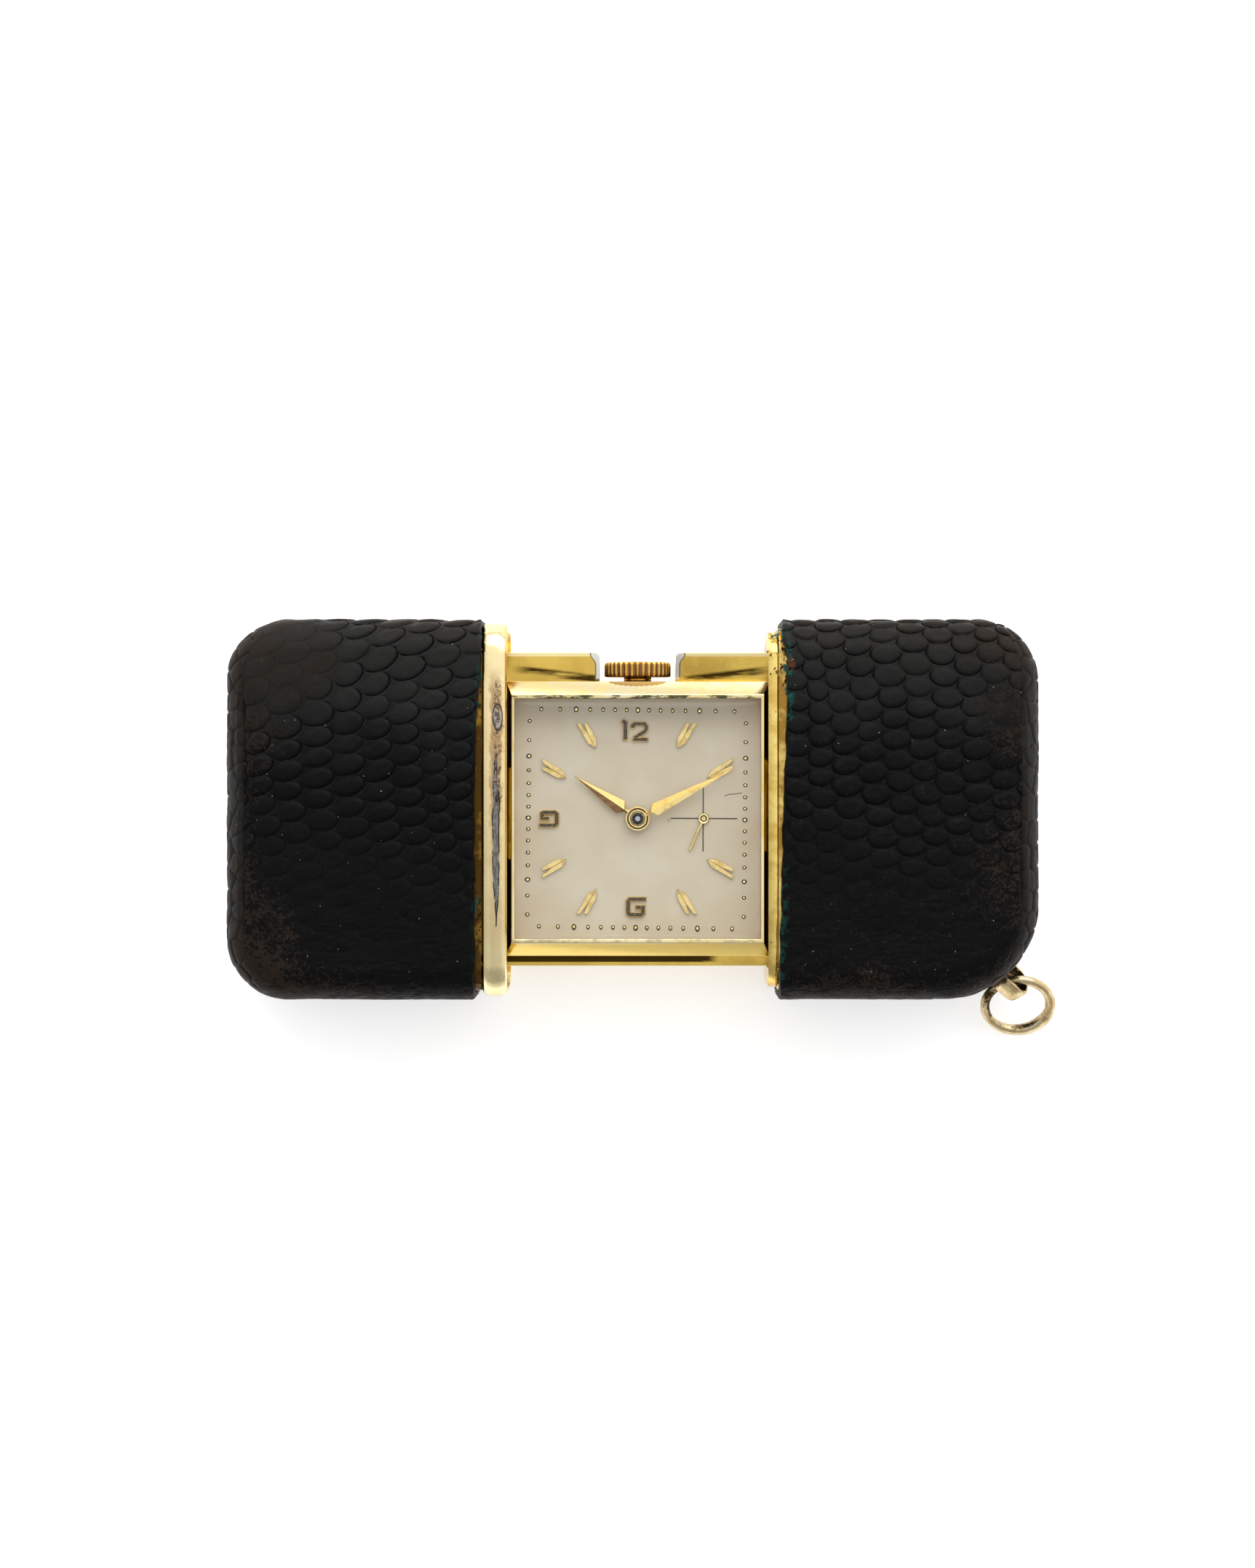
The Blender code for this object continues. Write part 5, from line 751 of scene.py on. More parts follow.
# nearest place inside the rounded core and the outward direction, for box points (depth, y, z)
def coreOf(points, cover):
    edge = leatherSkin["edge"]
    depth, y = points[:, 0], points[:, 1]
    coreDepth = np.maximum(depth, edge)
    coreY = np.clip(y, cover["yLow"] + edge, cover["yHigh"] - edge)
    for sign, limit, radius in ((-1, cover["yLow"], cover["radiusLow"]),
                                (1, cover["yHigh"], cover["radiusHigh"])):
        centreY = limit - sign * radius
        fromDepth, fromY = depth - radius, y - centreY
        inCorner = (fromDepth < 0) & (fromY * sign > 0)
        far = np.hypot(fromDepth, fromY) + 1e-9
        out = inCorner & (far > radius - edge)
        coreDepth = np.where(out, radius + fromDepth / far * (radius - edge),
                             np.where(inCorner, depth, coreDepth))
        coreY = np.where(out, centreY + fromY / far * (radius - edge), np.where(inCorner, y, coreY))
    coreZ = np.clip(points[:, 2], cover["zLow"] + edge, cover["zHigh"] - edge)
    core = np.stack([coreDepth, coreY, coreZ], 1)
    direction = points - core
    return core, direction / np.linalg.norm(direction, axis=1)[:, None]


# the hide laid flat: way from the mouth, and way down from the front's top line round the girth
def unfolded(points, where, cover, length):
    edge = leatherSkin["edge"]

    def curled(distance):
        return edge * np.arctan(np.maximum(distance, 0) / edge)
    depth = np.where(points[:, 0] < edge, edge - curled(edge - points[:, 0]), points[:, 0])
    y, z = points[:, 1], points[:, 2]
    yTop, yBottom = cover["yHigh"] - edge, cover["yLow"] + edge
    zTop, zBottom = cover["zHigh"] - edge, cover["zLow"] + edge
    quarter = edge * math.pi / 2
    onFront = np.clip(y, yBottom, yTop) + curled(y - yTop) - curled(yBottom - y)
    down = quarter - curled(z - zTop) + (zTop - np.clip(z, zBottom, zTop)) + curled(zBottom - z)
    wrap = 2 * quarter + zTop - zBottom
    onBack = yTop + wrap + (yTop - np.clip(y, yBottom, yTop)) - curled(y - yTop) + curled(yBottom - y)
    girth = np.select([where == backSide, where == 2, where == 3], [onBack, yTop + down, yBottom - down],
                      onFront)
    return length - depth, cover["yHigh"] - girth


# soft distance to the edge of the nearest cell
def cellEdges(places, centres, sharpness):
    tree = KDTree(len(centres))
    for number, centre in enumerate(centres):
        tree.insert(centre, number)
    tree.balance()
    edges = np.zeros(len(places))
    for number, place in enumerate(places):
        near = tree.find_n(place, 4)
        first, d1 = near[0][0], near[0][2]
        total = 0.0
        for other, _, d2 in near[1:]:
            total += math.exp(-sharpness * (d2 * d2 - d1 * d1) / (2 * (other - first).length))
        edges[number] = -math.log(total) / sharpness
    return np.maximum(edges, 0.0)


def smoothStep(value, low, high):
    share = np.clip((value - low) / (high - low), 0, 1)
    return share * share * (3 - 2 * share)


# smooth noise from turned waves, between about -1 and 1
def softNoise(points, size, seed):
    maker = np.random.default_rng(seed)
    total = np.zeros(len(points))
    for octave in range(3):
        for _ in range(5):
            wave = maker.normal(size=3)
            wave *= 2 ** octave * 2 * math.pi / size / np.linalg.norm(wave)
            total += np.sin(points @ wave + maker.uniform(0, 2 * math.pi)) / 2 ** octave
    return total / 4.2


# the hide's place in scale steps: the scales sit on a triangular lattice that turns a little down the cover
def scaleLattice(fromMouth, down, cover):
    right, up = cover["side"] * fromMouth, -down
    lower = np.maximum(-5.3 - up, 0) / 7
    drift, slide, squeeze = cover["drift"]
    seed = cover["seed"]
    row = right - drift * np.log(np.cosh(lower)) + 0.17 * np.sin(up / 1.9 + seed)
    row = row + 0.14 * np.sin(right / 2.4 + up / 3.1)
    rank = up - slide * np.log(np.cosh(lower)) - squeeze * (right - cover["side"] * 6.7) * np.tanh(lower)
    rank = rank + 0.13 * np.sin(right / 1.8 + seed * 2.0) + 0.1 * np.sin(right / 3.3 - up / 1.6)
    turn = math.radians(cover["rowTurn"])
    return ((row * math.cos(turn) + rank * math.sin(turn)) / cover["pitch"][0],
            (rank * math.cos(turn) - row * math.sin(turn)) / cover["pitch"][1])


# how far each place lies inside its oval scale, and how far it leans to the scale's free edge
def insideScales(rowAt, rankAt, cover):
    found = []
    for step in (0, 1):
        line = np.floor(rankAt) + step
        shifted = rowAt - cover["shift"] * line
        place = np.floor(shifted + 0.5)
        uneven = ovalLook["uneven"] * np.sin(ovalLook["turnRank"] * line + ovalLook["turnPlace"] * place)
        longWay, wideWay = (shifted - place) / cover["oval"][0], (rankAt - line) / cover["oval"][1]
        found.append((np.hypot(longWay, wideWay) / (1 + uneven),
                      longWay * cover["free"][0] + wideWay * cover["free"][1]))
    nearer = found[0][0] < found[1][0]
    radius, lean = (np.where(nearer, first, second) for first, second in zip(*found))
    return (1 - radius) * ovalLook["size"], lean * ovalLook["size"]


# one cover's hide as a grid of points, and all that its relief, its stains and its painted light and shade
# are worked out from
class Hide:
    def __init__(self, cover):
        skin = leatherSkin
        self.cover, self.seed = cover, cover["seed"]
        self.length = abs(cover["end"] - cover["mouth"])
        self.lines = (depthLine(self.length, skin["step"]),
                      gridLine(cover["yLow"], cover["yHigh"], skin["step"]),
                      gridLine(cover["zLow"], cover["zHigh"], skin["sideStep"]))
        self.points, self.faces, self.where, self.index = boxGrid(self.lines)
        self.core, self.direction = coreOf(self.points, cover)
        self.surface = self.core + self.direction * skin["edge"]
        self.y, self.toMouth = self.surface[:, 1], self.length - self.points[:, 0]
        self.fromMouth, down = unfolded(self.points, self.where, cover, self.length)
        self.rowAt, self.rankAt = scaleLattice(self.fromMouth, down, cover)
        self.within, self.lean = insideScales(self.rowAt, self.rankAt, cover)
        self.toEnd = np.arcsin(np.clip(-self.direction[:, 0], -1, 1)) - math.radians(skin["foldTurn"])
        self.capped = self.toEnd > 0
        self.edges = self.endScales()
        self.wide = self.noise(15.0, 3)
        self.smoothed = self.smoothPatch()
        self.strength = self.scaleStrength()
        self.fold = self.endFold()

    def noise(self, size, number, stretch=(1.0, 1.0, 1.0)):
        return softNoise(self.surface * np.array(stretch), size, self.seed + number)

    # the end is covered by uneven cells, its centres drawn at random but never closer than capScale
    def endScales(self):
        chosen, places = [], self.surface[self.toEnd > -0.15]
        for number in np.random.default_rng(self.seed).permutation(len(places))[:leatherSkin["capTries"]]:
            place = Vector(places[number])
            if all((place - other).length > self.cover["capScale"] for other in chosen):
                chosen.append(place)
        edges = np.ones(len(self.points))
        edges[self.capped] = cellEdges(self.surface[self.capped], chosen, leatherSkin["sharpness"])
        return edges

    # the patch near the outer corner where handling has flattened the scales
    def smoothPatch(self):
        alongWay, upWay, reach = self.cover["smooth"]
        far = np.hypot(self.fromMouth - alongWay, self.y - upWay) + 1.2 * self.wide
        return smoothStep(-far, -reach, -0.4 * reach) * (self.where != backSide)

    # how clearly the scales stand out: less towards the foot, in the smooth patch and on the back
    def scaleStrength(self):
        cover = self.cover
        way = self.y + 2.6 * self.wide + cover["fadeSlope"] * self.fromMouth
        strength = 0.10 + 0.90 * smoothStep(way, cover["fadeLow"], cover["fadeHigh"])
        strength = np.where(self.where == backSide, 0.7, strength) * (1 + 0.25 * self.noise(4.0, 5))
        strength *= 1 - 0.8 * self.smoothed
        strength[self.capped] = 0.5 + 0.2 * softNoise(self.surface[self.capped], 9.0, 5)
        return np.clip(strength, 0.0, 1.15)

    # the hide is folded over the end along one line; the same mask also paints shade along the fold
    def endFold(self):
        fold = np.exp(-(self.toEnd * leatherSkin["edge"] / leatherSkin["foldWide"]) ** 2)
        fold *= np.clip(0.5 + 0.7 * self.noise(5.0, 8), 0, 1)
        return fold * smoothStep(-np.abs(self.y - leatherSkin["middle"]), -13.0, -9.5)

    def relief(self):
        skin, capped = leatherSkin, self.capped
        share = np.where(capped, np.clip(self.edges / 0.4, 0, 1), np.clip(self.within / skin["half"], 0, 1))
        free = 0.2 + 0.8 * smoothStep(self.lean, -0.1, 0.25)
        valley = np.where(capped, np.exp(-(self.edges / skin["capCrease"]) ** 2),
                          free * np.exp(-(self.within / skin["creaseWide"]) ** 2))
        tilted = np.where(capped, 0.0, skin["tilt"] * self.lean * smoothStep(self.within, 0.0, 0.07))
        height = self.strength * (tilted - skin["shoulder"] * (1 - share) ** 2.4
                                  - skin["creaseDeep"] * valley)
        height += skin["swell"] * self.noise(7.0, 11) - skin["sink"] + skin["grain"] * self.noise(1.3, 17)
        wrinkle = np.exp(-(np.abs(self.noise(2.8, 21, (0.4, 1.6, 1.2))) / 0.07) ** 2)
        height -= skin["wrinkle"] * smoothStep(-self.y, 2.0, 10.0) * (1 - capped) * wrinkle
        height -= skin["foldDeep"] * self.fold
        beside = np.exp(-((self.toEnd * skin["edge"] - 0.5) / 0.3) ** 2)
        height += skin["ridge"] * beside * smoothStep(-np.abs(self.y - skin["middle"]), -13, -9)
        rollIn = np.clip(skin["roll"] - self.toMouth, 0, skin["roll"])
        rolled = skin["roll"] - np.sqrt(np.maximum(skin["roll"] ** 2 - rollIn ** 2, 0))
        height = np.maximum(height, -skin["deepest"]) * (0.3 + 0.7 * smoothStep(self.toMouth, 0.0, 0.5))
        return height - rolled

    # how far the mouth's edge is cut back, a little raggedly
    def cutBack(self):
        trim = np.interp(self.y, *zip(*self.cover["trim"])) + 0.08
        trim += 0.08 * self.noise(2.4, 30, (0.0, 1.0, 1.0))
        return trim * smoothStep(-self.toMouth, -5.0, 0.0)

    # what the material reads: the lattice, the painted crease shade, wear, painted light, verdigris and the
    # torn spot
    def stainsAndShade(self, outer):
        cover, y, capped = self.cover, self.y, self.capped
        # painted shade in the creases between the end's cells
        endCellShade = np.where(capped, 0.7 * np.exp(-(self.edges / 0.09) ** 2) * self.strength, 0.0)
        nearEnd = smoothStep(self.fromMouth + 3.5 * self.wide, self.length - 7.0, self.length + 1.0)
        toCorner = np.abs(y - leatherSkin["middle"]) + 0.55 * (8 - np.minimum(self.points[:, 0], 8))
        worn = np.maximum(0.55 * nearEnd, smoothStep(toCorner + 1.5 * self.wide, 12.5, 18.5))
        worn = np.maximum(cover["wornAll"] + (1 - cover["wornAll"]) * worn, 0.55 * self.smoothed)
        # painted light: the cover's tone gets lighter towards its top
        lit = smoothStep(y + 1.2 * softNoise(self.surface, 6.0, 7), 1.0, 17.0) * cover["lit"]
        places = np.clip(smoothStep(y, 4, 11) + 0.45 * smoothStep(-y, 2, 7) * smoothStep(y, -16, -13), 0, 1)
        green = smoothStep(-self.toMouth, -cover["greenReach"], -0.15) * places * cover["green"]
        tearX, tearY, tearSize = cover["tear"]
        toTear = np.hypot((outer[:, 0] - self.length + tearX) * 1.6, y - tearY)
        # crease and fold paint shade into the creases and along the end fold, lit paints light towards the
        # top
        return {"rowAt": self.rowAt, "rankAt": self.rankAt, "worn": worn, "green": green,
                "creaseShade": np.where(capped, 0.0, np.clip(1.25 * self.strength, 0, 1)),
                "fold": np.maximum(self.fold * 0.8, endCellShade),
                "lit": lit * (self.where != backSide) + 0.85 * capped,
                "torn": smoothStep(-toTear, -tearSize, -tearSize * 0.4) * (self.where == frontSide)}

    # inner faces on every fourth line, joined to the outer face round the mouth
    def lining(self, cutBack):
        number, points, faces = {}, [], []
        last = [len(line) - 1 for line in self.lines]

        def inner(key):
            if key not in number:
                number[key] = len(self.points) + len(points)
                at = self.index[key]
                place = self.core[at] + self.direction[at] * (leatherSkin["edge"] - leatherSkin["thickness"])
                points.append(place - np.array([cutBack[at], 0.0, 0.0]))
            return number[key]
        for axis, value in boxSides:
            faces += [[inner(key) for key in cell] for cell in sideCells(axis, value, last, 4)]
        for axis, value in boxSides[:4]:
            run = 1 if axis == 2 else 2
            for a in range(0, last[run], 4):
                keys = []
                for step in range(5):
                    place = [last[0], 0, 0]
                    place[axis], place[run] = last[axis] if value else 0, a + step
                    keys.append(tuple(place))
                low, high = inner(keys[0]), inner(keys[4])
                line = [self.index[key] for key in keys]
                faces += [[low, line[0], line[1]], [low, line[1], line[2]], [low, line[2], high],
                          [high, line[2], line[3]], [high, line[3], line[4]]]
        return points, faces


def leatherCover(name, node, body, cover):
    hide = Hide(cover)
    cutBack = hide.cutBack()
    outer = hide.surface + hide.direction * hide.relief()[:, None]
    outer[:, 0] = np.maximum(outer[:, 0], 0.0) - cutBack
    innerPoints, innerFaces = hide.lining(cutBack)
    world = np.concatenate([outer, np.array(innerPoints)])
    world[:, 0] = cover["end"] + (1 if cover["end"] < cover["mouth"] else -1) * world[:, 0]
    builder = bmesh.new()
    verts = [builder.verts.new(point) for point in world * mm]
    for face in hide.faces + innerFaces:
        builder.faces.new([verts[number] for number in face])
    bmesh.ops.recalc_face_normals(builder, faces=builder.faces)
    mesh = meshFrom(builder, name)
    finishPiece(name, mesh, leatherMaterial(name, cover), body, (node,))
    for label, values in hide.stainsAndShade(outer).items():
        storeValues(mesh, label, np.concatenate([values, np.zeros(len(innerPoints))]))
    print(name, len(mesh.polygons), "faces")


coverBox = {"yLow": -15.7, "yHigh": 17.3, "zLow": -1.7, "zHigh": 13.3}
# pitch, shift, oval and free are in scale steps; free points to a scale's free edge, trim cuts the mouth back
leftCover = {
    **coverBox, "end": -35.51, "mouth": -13.3, "radiusLow": 5.4, "radiusHigh": 5.4, "seed": 4, "side": -1,
    "rowTurn": 22.9, "pitch": (3.08, 1.69), "shift": 0.386, "oval": (0.475, 0.53), "free": (0.45, -0.89),
    "drift": (3.15, 1.3, 0.09), "capScale": 1.45, "lit": 1.0, "smooth": (18.2, 13.5, 8.0),
    "fadeLow": -9.5, "fadeHigh": 1.0, "fadeSlope": -0.12, "wornAll": 0.05,
    "trim": [(-16, 0.6), (0, 0.64), (6, 0.58), (10, 0.35), (14, 0.05), (17, 0.0)],
    "green": 0.25, "greenReach": 0.5, "tear": (0.6, 99.0, 1.0),
}
rightCover = {
    **coverBox, "end": 34.63, "mouth": 12.05, "radiusLow": 8.3, "radiusHigh": 5.4, "seed": 9, "side": 1,
    "rowTurn": 95.9, "pitch": (1.84, 2.25), "shift": 0.575, "oval": (0.48, 0.56), "free": (-0.92, 0.39),
    "drift": (0.0, 0.0, 0.0), "capScale": 1.5, "lit": 0.78, "smooth": (20.5, 9.0, 4.5),
    "fadeLow": -8.5, "fadeHigh": 3.0, "fadeSlope": 0.0, "wornAll": 0.2,
    "trim": [(-16, 0.0), (-10, 0.08), (0, 0.32), (5, 0.48), (8, 0.64), (14, 0.66), (16, 0.25)],
    "green": 1.0, "greenReach": 0.8, "tear": (1.0, 13.3, 0.9),
}
leatherCover("leftLeatherSkin", "left_leather", "left_cover", leftCover)
leatherCover("rightLeatherSkin", "right_leather", "right_cover", rightCover)

for name, node, material, body, width, steps in (
        ("leftBead", "left_bead", giltBead, "left_cover", 0.1, 2),
        ("rightRim", "right_rim", giltRim, "right_cover", 0.12, 3),
        ("carriageRails", "carriage_frame", giltRails, "carriage", 0.13, 3),
        ("bezelFrame", "bezel", giltBezel, "carriage", 0.06, 2)):
    dressedPiece(name, node, material, body, width, steps)
print("metal of the covers and the carriage ready")

crownLook = {"ridges": 34, "perRidge": 8, "groove": 0.17, "axisZ": 5.5, "neckFrom": 11.93, "neck": 1.2,
             "neckSides": 6}


# knurled disc with rounded ridges on a six-sided neck; rows are (y, radius, share of the groove)
def buildCrown():
    look = crownLook
    rows = [(12.30, 0.6, 0.0), (12.30, 2.53, 0.1), (12.32, 2.72, 0.5), (12.36, 2.85, 0.85),
            (12.42, 2.90, 1.0), (12.72, 2.90, 1.0), (12.98, 2.90, 1.0), (13.28, 2.90, 1.0),
            (13.42, 2.89, 1.0), (13.52, 2.84, 0.8), (13.58, 2.74, 0.45), (13.61, 2.60, 0.1),
            (13.625, 2.4, 0.0), (13.645, 1.6, 0.0), (13.665, 0.6, 0.0)]
    count = look["ridges"] * look["perRidge"]
    shells, groove = Shells(), []
    rings = []
    for y, radius, share in rows:
        ring = []
        for step in range(count):
            angle = math.tau * step / count
            hollow = (0.5 - 0.5 * math.cos(angle * look["ridges"])) ** 0.8
            reach = radius - look["groove"] * hollow * share
            ring.append((reach * math.sin(angle), y, look["axisZ"] + reach * math.cos(angle)))
            groove.append(hollow * share)
        rings.append(ring)
    shells.rings(rings)
    neck = []
    for y, reach in ((look["neckFrom"], 0.97), (look["neckFrom"] + 0.04, 1.0), (12.32, 1.0)):
        ring = []
        for step in range(look["neckSides"] * 3):
            corner = math.tau / look["neckSides"]
            angle = math.tau * step / (look["neckSides"] * 3) + corner / 2
            flat = math.cos(corner / 2) / math.cos((angle + corner / 2) % corner - corner / 2)
            radius = look["neck"] * reach * min(1.0, flat * 1.04)
            ring.append((radius * math.sin(angle), y, look["axisZ"] + radius * math.cos(angle)))
            groove.append(0.0)
        neck.append(ring)
    shells.rings(neck)
    piece = shells.piece("crownKnob", giltCrown, "crown", "gilt", ("crown",), True)
    storeValues(piece.data, "groove", groove)


buildCrown()

ringLook = {"at": (32.87, -14.36, 2.33), "radius": 2.895, "wire": 0.42, "thick": 0.33, "heavy": -135.0,
            "tilt": 38.0, "phase": 15.0, "turns": 120, "sides": 20, "shadeAt": (30.4, -14.8)}


# forged ring, a little square and hammered, heavier at its lower right
def buildRing():
    look = ringLook
    tilt, phase = math.radians(look["tilt"]), math.radians(look["phase"])
    chance = random.Random(5)
    waves = [(chance.randint(3, 9), chance.uniform(0, math.tau), chance.uniform(0.004, 0.009))
             for _ in range(6)]

    def onCircle(angle):
        high = math.cos(angle) * look["radius"]
        return Vector((-math.sin(angle) * look["radius"], high * math.cos(tilt), high * math.sin(tilt)))
    normal = Vector((0.0, -math.sin(tilt), math.cos(tilt)))
    shells, paintedShade, rings = Shells(), [], []
    for turn in range(look["turns"]):
        angle = math.tau * turn / look["turns"]
        centre = Vector(look["at"]) + onCircle(angle) - onCircle(phase)
        outward = onCircle(angle).normalized()
        heavy = max(0.0, math.cos(angle - math.radians(look["heavy"]))) ** 2
        radius = look["wire"] * (1 + look["thick"] * heavy) * 0.985
        ring = []
        for side in range(look["sides"]):
            around = math.tau * side / look["sides"] + 0.5 * math.sin(angle * 2 + 1.0)
            square = (abs(math.cos(around)) ** 2.7 + abs(math.sin(around)) ** 2.7) ** (-1 / 2.7)
            worked = sum(size * math.sin(count * angle * 2 + side * 0.9 + start)
                         for count, start, size in waves)
            reach = radius * min(1.0, square * (0.93 + worked))
            around -= 0.5 * math.sin(angle * 2 + 1.0)
            ring.append(centre + outward * math.cos(around) * reach + normal * math.sin(around) * reach)
            # painted shade: darker near the leather and on the inner side of the wire
            near = math.hypot(centre.x - look["shadeAt"][0], centre.y - look["shadeAt"][1])
            inner = 0.42 if math.cos(around) < -0.35 else 0.0
            paintedShade.append(max(0.0, 1.0 - near / 3.2) + inner)
        rings.append(ring)
    shells.rings(rings, 0, True)
    piece = shells.piece("chainRing", giltPale, "ring", "gilt", ("chain_ring",), True)
    storeValues(piece.data, "paintedShade", paintedShade)


buildRing()

bailLook = {
    "at": (33.12, -14.62, 2.1), "direction": (0.70, -0.61, -0.37), "normal": (0.61, 0.54, 0.58),
    "bend": 1.15, "strap": 0.32, "width": 1.62, "arm": 2.3, "lapEnd": 0.62, "lap": 0.055, "steps": 26,
    "section": ((-1, -0.7), (-0.86, -1), (0.86, -1), (1, -0.7), (1, 0.6), (0.86, 1), (0, 1.08), (-0.86, 1),
                (-1, 0.6)),
}


# strap bent to a U; its front end is lapped over the bend; section is the strap's outline in half sizes
def buildBail():
    look = bailLook
    forward = Vector(look["direction"]).normalized()
    across = Vector(look["normal"])
    across = (across - forward * across.dot(forward)).normalized()
    apart = across.cross(forward)
    at = Vector(look["at"])
    half, rings, paintedShade = look["width"] / 2, [], []
    stations = [(-look["arm"] + look["arm"] * step / 8, look["bend"], 0.0, 1.0, step / 8 * 0.3)
                for step in range(8)]
    for step in range(look["steps"] + 1):
        angle = math.pi / 2 - math.pi * step / look["steps"]
        stations.append((look["bend"] * math.cos(angle), look["bend"] * math.sin(angle), math.cos(angle),
                         math.sin(angle), 0.3 + 0.4 * step / look["steps"]))
    stations += [(-look["arm"] * step / 8, -look["bend"], 0.0, -1.0, 0.7 + step / 8 * 0.3)
                 for step in range(1, 9)]
    for forwardWay, apartWay, outForward, outApart, share in stations:
        thick = look["strap"] / 2
        lapped = look["lap"] if share > look["lapEnd"] else 0.0
        spread = half * (1 - 0.26 * math.exp(-((share - 0.5) / 0.13) ** 2))
        ring = []
        for side, out in look["section"]:
            reach = out * thick + (lapped if out > 0 else 0.0)
            place = (at + forward * (forwardWay + outForward * reach) + apart * (apartWay + outApart * reach)
                     + across * side * spread)
            ring.append(place)
            # painted shade: darker along the arms towards the case and on the strap's inner side
            deep = max(0.0, -0.75 - forwardWay) * 0.9
            paintedShade.append(deep + (0.75 if out < 0 else 0.0))
        rings.append(ring)
    shells = Shells()
    shells.rings(rings)
    piece = shells.piece("cornerBail", giltPale, "right_cover", "gilt", ("bail",), True)
    storeValues(piece.data, "paintedShade", paintedShade)
    bevelEdges(piece, 0.03, 2, 35.0)


buildBail()
print("crown, ring and bail ready")

dialLook = {"top": 8.8, "dotLine": 9.25, "dot": 0.165, "hourDot": 0.21, "dotHigh": 0.07, "crossAt": 5.7,
            "crossHalf": 2.86, "crossWide": 0.1, "inkHigh": 0.02, "dotTurn": math.radians(-0.6),
            "dotCentre": (-0.08, -0.03)}
numeralLook = {"foot": 8.85, "shoulder": 8.97, "top": 9.04, "wide": 0.44, "core": 0.3}
ninePath = [(0.02, 0.02), (-0.36, 0.02), (-0.36, 0.33), (-0.26, 0.4), (0.34, 0.4), (0.44, 0.3), (0.44, -0.32),
            (0.34, -0.42), (-0.5, -0.42)]
twoPath = [(-0.42, 0.2), (-0.42, 0.31), (-0.3, 0.42), (0.3, 0.42), (0.43, 0.31), (0.43, 0.12), (0.32, 0.0),
           (-0.3, -0.34)]
twoFoot = [(-0.4, -0.43), (0.5, -0.43)]
markerLook = {"tip": 7.03, "shoulder": 0.7, "half": 0.40, "outer": 8.2, "fork": 1.5, "prong": 0.25,
              "foot": 8.85, "plate": 8.98, "edge": 9.02, "ridge": 9.035, "groove": 0.008,
              "inset": 0.014, "shift": (-0.08, 0.0)}


def strokeOutline(path, width):
    left, right = [], []
    for index, point in enumerate(path):
        here = Vector(point)
        before = (here - Vector(path[index - 1])).normalized() if index else None
        after = (Vector(path[index + 1]) - here).normalized() if index + 1 < len(path) else None
        one, two = before or after, after or before
        bend = (one + two).normalized()
        normal = Vector((-bend.y, bend.x))
        reach = width / 2 / max(0.45, normal.dot(Vector((-one.y, one.x))))
        left.append(tuple(here + normal * reach))
        right.append(tuple(here - normal * reach))
    return right + left[::-1]


# applied numeral: pale gilt edge sloping up to a dark grained face
def buildNumeral(name, node, strokes, slim=1.0):
    look = numeralLook
    wide, core = look["wide"] * slim, look["core"] * slim
    shells = Shells()
    for path in strokes:
        def level(width, high, cut):
            ends = [Vector(point) for point in path]
            ends[0] += (ends[1] - ends[0]).normalized() * cut
            ends[-1] += (ends[-2] - ends[-1]).normalized() * cut
            return atHeight(strokeOutline([tuple(point) for point in ends], width), high)
        shells.rings([level(wide, look["foot"], -0.08), level(wide, look["shoulder"], -0.08),
                      level(core, look["top"], 0.0), level(core * 0.9, look["top"] + 0.005, 0.01)],
                     [0, 0, 1])
    shells.piece(name, [giltMarker, inlayDark], "carriage", "applied_gilt", (node,))


def placed(path, centre, scale, turn=0.0):
    return [turned((x * scale[0], y * scale[1]), turn, centre) for x, y in path]


buildNumeral("numeralOne", "numeral_one", [[(-1.06, 6.8), (-1.06, 8.36)], [(-1.3, 8.36), (-1.08, 8.24)]])
buildNumeral("numeralTwo", "numeral_two",
             [placed(path, (0.15, 7.5), (1.4, 1.56)) for path in (twoPath, twoFoot)], 0.84)
buildNumeral("numeralSix", "numeral_six", [placed(ninePath, (-0.12, -7.62), (1.6, 1.6), math.pi)])
buildNumeral("numeralNine", "numeral_nine", [placed(ninePath, (-7.66, 0.0), (1.52, 1.36))])


# split spear: thin dark plate with two gilt blades beside a groove
def buildMarker(hour):
    look = markerLook
    angle = math.pi / 2 - hour * math.tau / 12
    outward = Vector((math.cos(angle), math.sin(angle)))
    across = Vector((-outward.y, outward.x))
    tip = outward * look["tip"] + Vector(look["shift"])
    edge = 1 if abs(outward.y) > abs(outward.x) else 0

    def atEdge(offset):
        start = tip + across * offset
        limit = math.copysign(look["outer"], outward[edge])
        return tuple(start + outward * ((limit - start[edge]) / outward[edge]))
    half, shoulder, fork = look["half"], tip + outward * look["shoulder"], tip + outward * look["fork"]
    shells = Shells()
    for side in (-1, 1):
        blade = [tuple(tip + across * side * look["groove"]), tuple(shoulder + across * side * half),
                 atEdge(side * half), atEdge(side * (half - look["prong"])),
                 tuple(fork + across * side * look["groove"])]
        if side > 0:
            blade.reverse()
        inset = shrunk(blade, look["inset"])
        ridge = (4, 0) if side < 0 else (0, 4)
        top = [(x, y, look["ridge"] if number in ridge else look["edge"])
               for number, (x, y) in enumerate(inset)]
        shells.rings([atHeight(blade, look["foot"]), atHeight(blade, look["plate"]), top], [0, 1])
        base = [tuple(tip), tuple(shoulder + across * side * half * 0.96), tuple(fork)]
        if side > 0:
            base.reverse()
        shells.rings([atHeight(base, look["foot"]), atHeight(base, look["plate"] - 0.01)], [2])
    shells.piece("marker" + str(hour), [giltEdge, giltMarker, inlayDark], "carriage", "applied_gilt",
                 ("marker_" + str(hour),))


for hour in (1, 2, 4, 5, 7, 8, 10, 11):
    buildMarker(hour)


